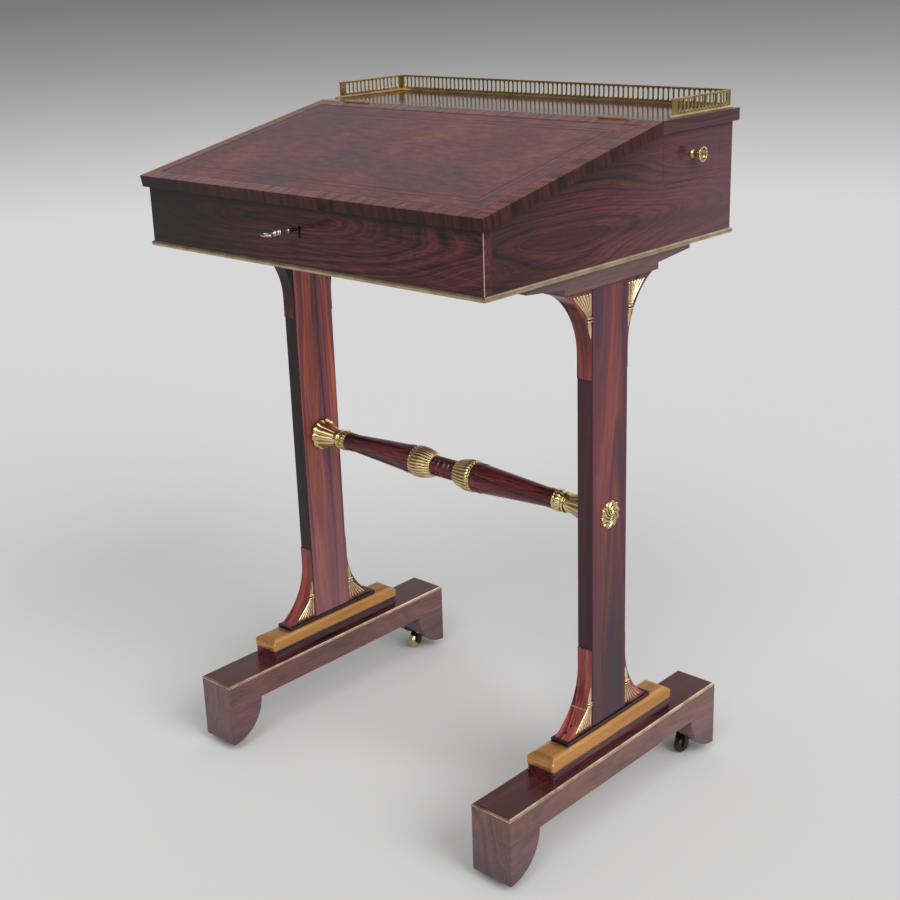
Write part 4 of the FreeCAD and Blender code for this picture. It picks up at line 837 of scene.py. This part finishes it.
class DeskStretcherMounts(bpy.types.Operator):
    """Models the gadrooned collars, the ribbed end sockets and the swirled rosettes of the
    stretcher"""
    bl_idname = "desk.stretcher_mounts"
    bl_label = "Stretcher mounts"

    def execute(self, context):
        sizes = context.scene.desk_sizes
        for builder, name, node, material in (
                (self.collar, "gadrooned_collars", "stretcher_collars", "brass"),
                (self.socket, "ribbed_sockets", "stretcher_sockets", "brass"),
                (self.rosette, "swirled_rosettes", "stretcher_rosettes", "rosette_brass")):
            parts = builder(sizes, False) + builder(sizes, True)
            piece = make_piece(name, *join_meshes(parts), material, 60.0)
            if builder == self.collar:
                rims = [bead_ring("beads %d" % side, sizes.gadroon_count, COLLAR_BEADS_RING,
                                  COLLAR_BEAD, STRETCHER + Vector((side * COLLAR_BEADS_X, 0, 0)))
                        for side in (-1, 1)]
                piece = joined_piece(name, [piece] + rims)
            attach(piece, "stand")
            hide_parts(node)
        dress("turning", "stretcher_centre", "stretcher_cones")
        dress("iron", "stretcher_tie_bolts")
        return {"FINISHED"}

    def collar(self, sizes, mirror):
        """Rounded lobes over the swell, dying into a plain rim at the cone. A station is (place
        from the stretcher's middle, radius, share of the gadroons' depth)."""
        shape = [(20.2, 12.8, 0.0), (20.5, 14.3, 0.15), (21.8, 15.9, 0.8), (25.0, 17.5, 1.0),
                 (30.0, 19.0, 1.0), (36.0, 20.4, 1.0), (42.0, 21.3, 1.0), (47.5, 21.5, 0.95),
                 (50.0, 21.2, 0.7), (51.0, 20.0, 0.2), (52.0, 19.9, 0.0), (54.6, 20.0, 0.0),
                 (55.0, 19.7, 0.0)]
        bore = [(55.0, 8.1, 0.0), (20.2, 8.1, 0.0)]
        stations = [(STRETCHER.x + x, r, d) for x, r, d in smooth_profile(shape, 3) + bore]
        depth = sizes.gadroon_depth / MM

        def radius(station, angle):
            return station[1] - depth * station[2] * (1.0 - lobe(angle, sizes.gadroon_count))
        return [turned_shell(stations, sizes.gadroon_count * 10, radius, STRETCHER.y, STRETCHER.z,
                             mirror, closed=True)]

    def socket(self, sizes, mirror):
        """From the cone: a beaded rim, a ribbed cup, a neck ring, and a ribbed flare that ends in
        rounded petals against the column. A station is (place from the stretcher's middle,
        radius, depth of the ribs), and then the whole is moved to end at the column."""
        cup = [(187.0, 12.6, 0.0), (187.3, 13.6, 0.4), (188.6, 14.0, 1.0), (189.8, 13.3, 0.3),
               (190.6, 13.9, 0.8), (193.5, 14.5, 1.0), (196.5, 13.8, 1.0), (198.6, 12.2, 0.6),
               (199.6, 11.0, 0.1), (200.6, 11.4, 0.0), (201.6, 13.4, 0.0), (203.2, 14.0, 0.0),
               (204.8, 13.4, 0.0), (205.8, 11.6, 0.0), (207.0, 11.2, 0.2)]
        flare = [(211.0, 11.8, 0.8), (216.0, 13.2, 1.2), (222.0, 15.0, 1.5), (229.0, 17.0, 1.7),
                 (235.0, 18.6, 1.7), (238.0, 20.0, 1.5), (239.6, 22.2, 1.9), (241.6, 23.0, 2.2),
                 (243.6, 22.4, 1.9), (244.8, 20.6, 0.6), (245.5, 19.6, 0.0)]
        bore, flare_start, cup_ribs, flare_ribs = 3.6, 209.0, 12, 10
        start = COLUMN_LOW.x - flare[-1][0]
        stations = [(start + x, r, d) for x, r, d in smooth_profile(cup, 3)[:-1]
                    + smooth_profile(flare, 4)]
        stations += [(COLUMN_LOW.x, bore, 0.0), (start + cup[0][0], bore, 0.0)]

        def radius(station, angle):
            in_cup = station[0] < start + flare_start
            ribs = lobe(angle, cup_ribs, 0.5) if in_cup else lobe(angle, flare_ribs, 0.6)
            return station[1] - station[2] * (1.0 - ribs)
        return [turned_shell(stations, 120, radius, STRETCHER.y, STRETCHER.z, mirror, closed=True)]

    def rosette(self, sizes, mirror):
        """Rounded leaves that spiral out over a low dome."""
        side = -1 if mirror else 1
        out = Vector((side, 0, 0))
        centre = STRETCHER + out * (COLUMN_HIGH.x - STRETCHER.x)
        profile = ((0.0, 16.4), (0.5, 16.6), (0.8, 15.0), (1.5, 11.0), (2.6, 7.0), (4.2, 3.4),
                   (4.9, 1.6), (5.1, 0.6))
        dome = [(centre.x + side * height, radius) for height, radius in profile]
        parts = [turned_shell(dome, 48, lambda station, angle: station[1], centre.y, centre.z)]
        leaf_start, leaf_reach, growth, blunt_from = 0.8, 17.2, 2.6, 0.8
        rim_rise, dome_rise, dome_radius = 0.4, 4.6, 17.0
        for start in turns(sizes.rosette_leaves):
            path, widths, heights = [], [], []
            for t in [step / 12 for step in range(13)]:
                radius = leaf_start + leaf_reach * t
                angle = start + side * sizes.rosette_twist * (1.0 - t) ** 1.25
                rise = rim_rise + dome_rise * max(0.0, 1.0 - radius / dome_radius) ** 1.3
                around = Vector((0, math.cos(angle), math.sin(angle)))
                path.append(centre + out * rise + around * radius)
                past = max(0.0, (t - blunt_from) / (1.0 - blunt_from))
                blunt = math.sqrt(max(0.0, 1.0 - past ** 2))
                widths.append(max(0.15, (0.35 + growth * t) * blunt))
                heights.append(max(0.1, (0.6 + growth * t) * blunt))
            parts.append(half_round(path, widths, heights, out))
        return parts


# ---- Fan mounts ----

# A fan's sizes in millimetres: its length, its width at the foot, and where its knot lies
FAN_LENGTH, FAN_WIDTH, KNOT_U, KNOT_V = 54.0, 36.0, 4.4, 28.5
KNOT_BULGE = {-1.0: 0.5, -0.85: 1.1, -0.4: 1.4, 0.0: 1.5, 0.4: 1.4, 0.85: 1.1, 1.0: 0.5}
# A reed's half width at its tip and as a share of its room at the foot, its spacing in the knot
REED_TIP, REED_SHARE, REED_PITCH = 0.4, 0.62, 1.1


class DeskFanMounts(bpy.types.Operator):
    """Models the cast fan mounts in the bracket corners: rounded reeds gathered in a ringed knot
    above a pointed leaf"""
    bl_idname = "desk.fan_mounts"
    bl_label = "Fan mounts"

    def execute(self, context):
        reeds = context.scene.desk_sizes.fan_reeds
        bracket_low, bracket_high = box_mm("right_brackets")
        mount_low, mount_high = box_mm("fan_mounts")
        beside_column = COLUMN_HALF_Y + 0.8
        parts = []
        for side in (1, -1):
            for face_x, out, foot, up in ((bracket_high.x, 1, mount_low.z, 1),
                                          (bracket_high.x, 1, mount_high.z, -1),
                                          (bracket_low.x, -1, mount_low.z, 1)):
                x = STRETCHER.x + side * (face_x - STRETCHER.x)
                for along in (1, -1):
                    corner = Vector((x, STRETCHER.y + along * beside_column, foot))
                    parts.append(self.fan(reeds, corner, Vector((side * out, along, up))))
        piece = make_piece("reeded_fan_mounts", *join_meshes(parts), "fan_brass", 70.0)
        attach(piece, "stand")
        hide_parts("fan_mounts")
        return {"FINISHED"}

    def fan(self, reeds, corner, ways):
        """One fan, as separate reeds held by a small plate and the knot. u runs from the column
        outwards, v from the fan's foot to its point, and rise out of the face."""
        def place(u, v, rise=0.0):
            return corner + Vector((ways.x * rise, ways.y * u, ways.z * v))
        face = Vector((ways.x, 0, 0))
        half_foot = FAN_WIDTH / reeds / 2
        half_reed = half_foot * REED_SHARE
        parts = []
        for reed in range(reeds):
            u_foot = half_foot * (2 * reed + 1)
            u_knot = KNOT_U + (reed - (reeds - 1) / 2) * REED_PITCH
            path, widths, heights = [], [], []
            for t in [(step / 10) ** 1.4 for step in range(11)]:
                taper = 1.0 - t
                blunt = math.sqrt(1.0 - (1.0 - min(1.0, (t * KNOT_V + 0.15) / half_foot)) ** 2)
                path.append(place(u_knot + (u_foot - u_knot) * taper ** 1.15, t * KNOT_V))
                widths.append((REED_TIP + (half_reed - REED_TIP) * taper) * blunt)
                heights.append((1.1 + 0.1 * taper) * blunt)
            parts.append(half_round(path, widths, heights, face))
        outline = ((0.6, 17.0), (14.0, 17.0), (KNOT_U * 2 - 0.4, KNOT_V), (0.6, KNOT_V))
        plate = [tuple(place(u, v, rise)) for rise in (-0.05, 0.2) for u, v in outline]
        walls = [(i, (i + 1) % 4, (i + 1) % 4 + 4, i + 4) for i in range(4)]
        parts.append((plate, [(0, 1, 2, 3), (7, 6, 5, 4)] + walls))
        for v in (KNOT_V + 0.6, KNOT_V + 4.2):
            path = [place(KNOT_U + 4.6 * share, v) for share in KNOT_BULGE]
            bulge = list(KNOT_BULGE.values())
            parts.append(half_round(path, bulge, [2 * b for b in bulge], face))
        leaf_foot = KNOT_V + 5.2
        path, widths, heights = [], [], []
        for t in [step / 8 for step in range(9)]:
            path.append(place(KNOT_U + (1.3 - KNOT_U) * t, leaf_foot + (FAN_LENGTH - leaf_foot) * t))
            widths.append(max(0.2, 3.1 * math.sin(math.pi * (0.28 + 0.72 * t)) ** 0.8))
            heights.append(max(0.3, 2.4 * (1.0 - t) ** 0.7))
        parts.append(half_round(path, widths, heights, face, 2))
        return join_meshes(parts)


# ---- Drawer knob, key and lock ----

# The knob's beads, in millimetres: how far the rim they sit on stands out of the drawer's face,
# the ring's radius and a bead's radius
KNOB_RIM, KNOB_BEADS_RING, KNOB_BEAD = 15.7, 8.1, 1.0

# The key's sizes in millimetres: its axis below its highest place, and its shank's start and its
# bow's middle behind its front; the bow's half sizes and its wire's half thicknesses; the bit's
# place in the lock, its length, its reach from the axis and its half thickness
KEY_AXIS, SHANK_START, BOW_MIDDLE = 3.6, 11.5, 6.5
BOW_HALF_X, BOW_HALF_Y, BOW_WIRE_FLAT, BOW_WIRE_UP = 7.0, 5.0, 1.5, 1.4
BIT_IN_LOCK, BIT_LENGTH, BIT_REACH, BIT_HALF = 1.6, 4.4, 9.0, 1.3


class DeskDrawer(bpy.types.Operator):
    """Dresses the pen drawer and models its fluted knob with a beaded rim"""
    bl_idname = "desk.pen_drawer"
    bl_label = "Pen drawer"

    def execute(self, context):
        dress("veneer_side", "pen_drawer_front")
        dress("mahogany", "pen_drawer_box", "pen_drawer_bottom", "pen_drawer_dividers")
        face = box_mm("pen_drawer_front")[1].x
        tail = box_mm("pen_drawer_knob")[0].x
        centre = middle_mm("pen_drawer_knob")
        # (place out of the drawer's face, radius, depth of the flutes)
        shape = [(0.0, 5.0, 0.0), (1.2, 5.2, 0.0), (2.0, 4.4, 0.0), (3.4, 3.2, 0.0),
                 (6.0, 3.2, 0.0), (8.6, 3.8, 0.0), (9.4, 4.8, 0.0), (10.2, 4.8, 0.0),
                 (10.8, 4.0, 0.0), (11.8, 4.8, 0.2), (13.2, 7.4, 0.8), (14.2, 8.9, 0.9),
                 (15.0, 9.3, 0.4), (KNOB_RIM, 9.0, 0.0), (15.8, 7.2, 0.0), (14.2, 6.6, 0.0),
                 (12.6, 5.4, 0.0), (12.2, 3.0, 0.0), (12.2, 1.0, 0.0)]
        stations = [(tail, 2.0, 0.0), (face - 0.1, 2.0, 0.0)]
        stations += smooth_profile([(face + x, r, d) for x, r, d in shape], 4)
        count = context.scene.desk_sizes.knob_beads

        def radius(station, angle):
            return station[1] - station[2] * (1.0 - lobe(angle, count))
        shell = turned_shell(stations, count * 8, radius, centre.y, centre.z)
        knob = make_piece("knob_body", *shell, "knob_brass", 50.0)
        beads = bead_ring("knob beads", count, KNOB_BEADS_RING, KNOB_BEAD,
                          (face + KNOB_RIM, centre.y, centre.z))
        piece = joined_piece("fluted_knob", [knob, beads])
        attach(piece, "pen_drawer")
        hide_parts("pen_drawer_knob")
        return {"FINISHED"}


class DeskLock(bpy.types.Operator):
    """Dresses the lock and models the key: turned shank, knops and an oval bow"""
    bl_idname = "desk.lock"
    bl_label = "Lock and key"

    def execute(self, context):
        dress("steel", "lock_case", "lock_bolt", "case_screws")
        dress("dark_brass", "lock_escutcheon")
        dress("brass", "lock_strike_plate", "lid_screws")
        low, high = box_mm("lock_key")
        x, z = STRETCHER.x, high.z - KEY_AXIS
        bit_y = box_mm("lock_case")[0].y + BIT_IN_LOCK
        bit = block_mesh((x - BIT_REACH, bit_y, z - BIT_HALF), (x, bit_y + BIT_LENGTH, z + BIT_HALF))
        parts = [self.shank(x, z, low.y + SHANK_START, high.y),
                 self.bow(Vector((x, low.y + BOW_MIDDLE, z))), bit]
        piece = make_piece("turned_key", *join_meshes(parts), "steel", 45.0)
        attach(piece, "key")
        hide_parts("lock_key")
        return {"FINISHED"}

    def shank(self, x, z, start, end):
        """Knops near the bow, then a plain shank, as (place along the key, radius)."""
        shape = [(0.0, 1.2), (0.8, 2.0), (2.0, 1.9), (3.0, 1.5), (4.2, 2.4), (5.6, 3.4), (7.0, 3.4),
                 (8.2, 2.2), (9.0, 1.9), (9.8, 2.9), (10.8, 3.1), (11.6, 1.9), (12.4, 2.9),
                 (13.6, 3.3), (14.8, 2.4), (16.4, 1.9), (20.0, 2.1), (24.0, 2.5), (25.4, 3.0),
                 (26.4, 3.0), (27.4, 2.2)]
        stations = [(start + along, radius) for along, radius in smooth_profile(shape, 3)]
        stations += [(end - 0.4, 2.2), (end, 1.9)]
        sides = 24
        points = [(x + radius * math.cos(angle), y, z + radius * math.sin(angle))
                  for y, radius in stations for angle in turns(sides)]
        faces = grid_faces(len(stations), sides, closed_columns=True)
        return points, faces + end_faces(points, sides)

    def bow(self, middle):
        """The oval ring, lying flat."""
        around, through = 40, 12
        up = Vector((0, 0, BOW_WIRE_UP))
        points = []
        for angle in turns(around):
            normal = Vector((math.cos(angle), math.sin(angle), 0))
            centre = middle + Vector((BOW_HALF_X * normal.x, BOW_HALF_Y * normal.y, 0))
            points += [tuple(centre + normal * BOW_WIRE_FLAT * math.cos(bend) + up * math.sin(bend))
                       for bend in turns(through)]
        return points, grid_faces(around, through, True, True)


# ---- Veneered and carried-over pieces ----


class DeskCase(bpy.types.Operator):
    """Veneers the case and the shelf, and dresses the moulding, linings and hinges"""
    bl_idname = "desk.case"
    bl_label = "Case"

    def execute(self, context):
        dress("veneer_front", "case_front")
        dress("veneer_side", "case_side_left", "case_side_right")
        dress("veneer_back", "case_back")
        dress("shelf", "top_shelf")
        dress("mahogany", "case_bottom", "drawer_divider", "drawer_dust_board")
        dress("moulding", "case_moulding")
        dress("aged_brass", "hinge_shelf_leaves")
        return {"FINISHED"}


class DeskLid(bpy.types.Operator):
    """Dresses the lid: crossbanded border, tooled leather and hinge leaves"""
    bl_idname = "desk.lid"
    bl_label = "Lid"

    def execute(self, context):
        dress("crossbanding", "lid_crossbanding")
        dress("mahogany", "lid_panel")
        dress("leather", "lid_leather")
        dress("aged_brass", "hinge_lid_leaves")
        return {"FINISHED"}


class DeskTrestles(bpy.types.Operator):
    """Dresses both trestle ends: columns, brackets, bearers, plinths, bars and feet"""
    bl_idname = "desk.trestles"
    bl_label = "Trestle ends"

    def execute(self, context):
        for side in ("left_", "right_"):
            dress(side + "column", side + "column")
            dress(side + "bracket", side + "brackets")
            dress("bearer", side + "bearer")
            dress("plinth", side + "plinth")
            dress("cap", side + "plinth_cap")
            dress("bar", side + "base_bar")
            dress("foot", side + "feet")
        dress("bead", "base_bead")
        return {"FINISHED"}


class DeskCastors(bpy.types.Operator):
    """Dresses the castors"""
    bl_idname = "desk.castors"
    bl_label = "Castors"

    def execute(self, context):
        corners = ("left_front", "left_back", "right_front", "right_back")
        dress("dark_brass", "castor_plates", *["castor_fork_" + corner for corner in corners])
        dress("brass", *["castor_wheel_" + corner for corner in corners[:3]])
        # Painted shade: the back right wheel, standing in shadow, takes the dark bronzed finish while the
        # other three stay bright brass.
        dress("dark_brass", "castor_wheel_right_back")
        return {"FINISHED"}


# ---- Stage ----

# What stands round the desk and is mirrored: (towards it, cosine of its half angle where it is
# full, cosine where it ends, strength). The bright ceiling and wall, and two windows.
BRIGHT_PLACES = (((0.10, 0.62, 0.78), 0.97, 0.80, 0.8), ((0.80, -0.50, 0.33), 0.985, 0.955, 3.0),
                 ((-0.15, -0.85, 0.50), 0.985, 0.955, 2.2), ((0.0, 0.99, 0.10), 0.97, 0.86, 1.0))
# How far the floor stays pale and its half size, in metres
PALE_REACH, FLOOR_HALF = 1.8, 80.0
# Soft lamps: (name, towards it, strength, spread in degrees)
LAMPS = (("key", (0.30, -0.60, 0.75), 0.9, 30), ("side", (0.80, -0.10, 0.60), 1.9, 35))
# The camera: focal length in millimetres, where it stands from the stretcher's middle and above
# the floor in millimetres, and its heading from the X axis, its tilt and its roll in degrees
LENS, STAND_X, STAND_Y, STAND_Z = 58.04, 1247.098, -1329.193, 1073.566
HEADING, TILT, ROLL = 133.0221793, -19.0551075, -1.91


class DeskStage(bpy.types.Operator):
    """Sets the floor, the light and the camera"""
    bl_idname = "desk.stage"
    bl_label = "Stage"

    def execute(self, context):
        self.floor()
        self.world(context)
        self.lamps()
        self.camera(context)
        context.scene.view_settings.view_transform = "Standard"
        return {"FINISHED"}

    def floor(self):
        """A pale seamless floor that falls off to a darker grey far from the desk."""
        material, add = new_material("seamless_paper_floor")
        place = add("ShaderNodeTexCoord").outputs["Object"]
        far = add("ShaderNodeVectorMath", place, operation="LENGTH")
        far = add("ShaderNodeMath", far, PALE_REACH, operation="ADD")
        near = add("ShaderNodeMath", 1.0, far, operation="DIVIDE")
        ramp = ramp_stops(add("ShaderNodeValToRGB", near),
                          [(0.025, "737373"), (0.06, "8D8D8D"), (0.09, "A6A6A6"),
                           (0.12, "BCBCBC"), (0.15, "CCCCCC")])
        add("ShaderNodeOutputMaterial", add("ShaderNodeBsdfDiffuse", ramp))
        mesh = bpy.data.meshes.new("seamless_floor")
        corners = [(x * FLOOR_HALF, y * FLOOR_HALF, 0) for x, y in ((-1, -1), (1, -1), (1, 1), (-1, 1))]
        mesh.from_pydata(corners, [], [(0, 1, 2, 3)])
        mesh.materials.append(material)
        linked("seamless_floor", mesh)

    def world(self, context):
        """Even light for the surfaces. What the polish and the brass mirror is a dark room with a
        bright wall behind the desk, a bright ceiling and two windows."""
        world = bpy.data.worlds.new("studio")
        context.scene.world = world
        world.use_nodes = True
        world.node_tree.nodes.clear()
        add = partial(add_node, world.node_tree)
        even = add("ShaderNodeBackground", Color=rgba(1.0), Strength=0.55)
        place = add("ShaderNodeTexCoord").outputs["Generated"]
        level = 0.22
        for towards, full, none, strength in BRIGHT_PLACES:
            facing = add("ShaderNodeVectorMath", place, Vector(towards).normalized(),
                         operation="DOT_PRODUCT")
            lit = add("ShaderNodeMapRange", facing, none, full, 0.0, strength,
                      interpolation_type="SMOOTHSTEP")
            level = add("ShaderNodeMath", level, lit, operation="ADD")
        height = add("ShaderNodeSeparateXYZ", place)
        low = add("ShaderNodeMapRange", height.outputs["Z"], 0.40, 0.50, 0.3, 0.0,
                  interpolation_type="SMOOTHSTEP")
        behind = add("ShaderNodeMapRange", height.outputs["Y"], 0.1, 0.4, 0.0, 1.0,
                     interpolation_type="SMOOTHSTEP")
        level = add("ShaderNodeMath", low, behind, level, operation="MULTIPLY_ADD")
        studio = add("ShaderNodeBackground", level, Strength=1.0)
        mirrored = add("ShaderNodeLightPath").outputs["Is Glossy Ray"]
        add("ShaderNodeOutputWorld", add("ShaderNodeMixShader", mirrored, even, studio))

    def lamps(self):
        """Two wide soft lamps, one in front of the desk and one at its right side."""
        for name, towards, strength, spread in LAMPS:
            light = bpy.data.lights.new(name, "SUN")
            light.energy = strength
            light.angle = math.radians(spread)
            linked(name, light).rotation_euler = Vector(towards).to_track_quat("Z", "Y").to_euler()

    def camera(self, context):
        """Looks down at the desk from the front right, with a slight roll."""
        data = bpy.data.cameras.new("camera")
        data.sensor_width = 36.0
        data.lens = LENS
        heading, tilt, roll = [math.radians(angle) for angle in (HEADING, TILT, ROLL)]
        forward = Vector((math.cos(heading) * math.cos(tilt), math.sin(heading) * math.cos(tilt),
                          math.sin(tilt)))
        level = Vector((forward.y, -forward.x, 0)).normalized()
        upright = level.cross(forward)
        right = math.cos(roll) * level + math.sin(roll) * upright
        rotation = Matrix((right, right.cross(forward), -forward)).transposed().to_4x4()
        place = Vector((STAND_X + STRETCHER.x, STAND_Y + STRETCHER.y, STAND_Z)) * MM
        camera = linked("camera", data)
        camera.matrix_world = Matrix.Translation(place) @ rotation
        context.scene.camera = camera


OPERATORS = (DeskStage, DeskCase, DeskLid, DeskDrawer, DeskLock, DeskGallery, DeskTrestles,
             DeskStretcherMounts, DeskFanMounts, DeskCastors)


class DeskPanel(bpy.types.Panel):
    """Lists the pieces of the desk"""
    bl_idname = "DESK_PT_panel"
    bl_label = "Writing Desk"
    bl_space_type = "VIEW_3D"
    bl_region_type = "UI"
    bl_category = "Writing Desk"

    def draw(self, context):
        for group in (context.scene.desk_sizes, context.scene.desk_finishes):
            for name in group.bl_rna.properties.keys():
                if name not in ("rna_type", "name"):
                    self.layout.prop(group, name)
        for operator in OPERATORS:
            self.layout.operator(operator.bl_idname)


CLASSES = (DeskSizes, DeskFinishes) + OPERATORS + (DeskPanel,)


def register():
    for item in CLASSES:
        bpy.utils.register_class(item)
    bpy.types.Scene.desk_sizes = PointerProperty(type=DeskSizes)
    bpy.types.Scene.desk_finishes = PointerProperty(type=DeskFinishes)


def unregister():
    del bpy.types.Scene.desk_finishes
    del bpy.types.Scene.desk_sizes
    for item in reversed(CLASSES):
        bpy.utils.unregister_class(item)


def main():
    register()
    for operator in OPERATORS:
        getattr(bpy.ops.desk, operator.bl_idname.split(".")[1])()


if __name__ == "__main__":
    main()
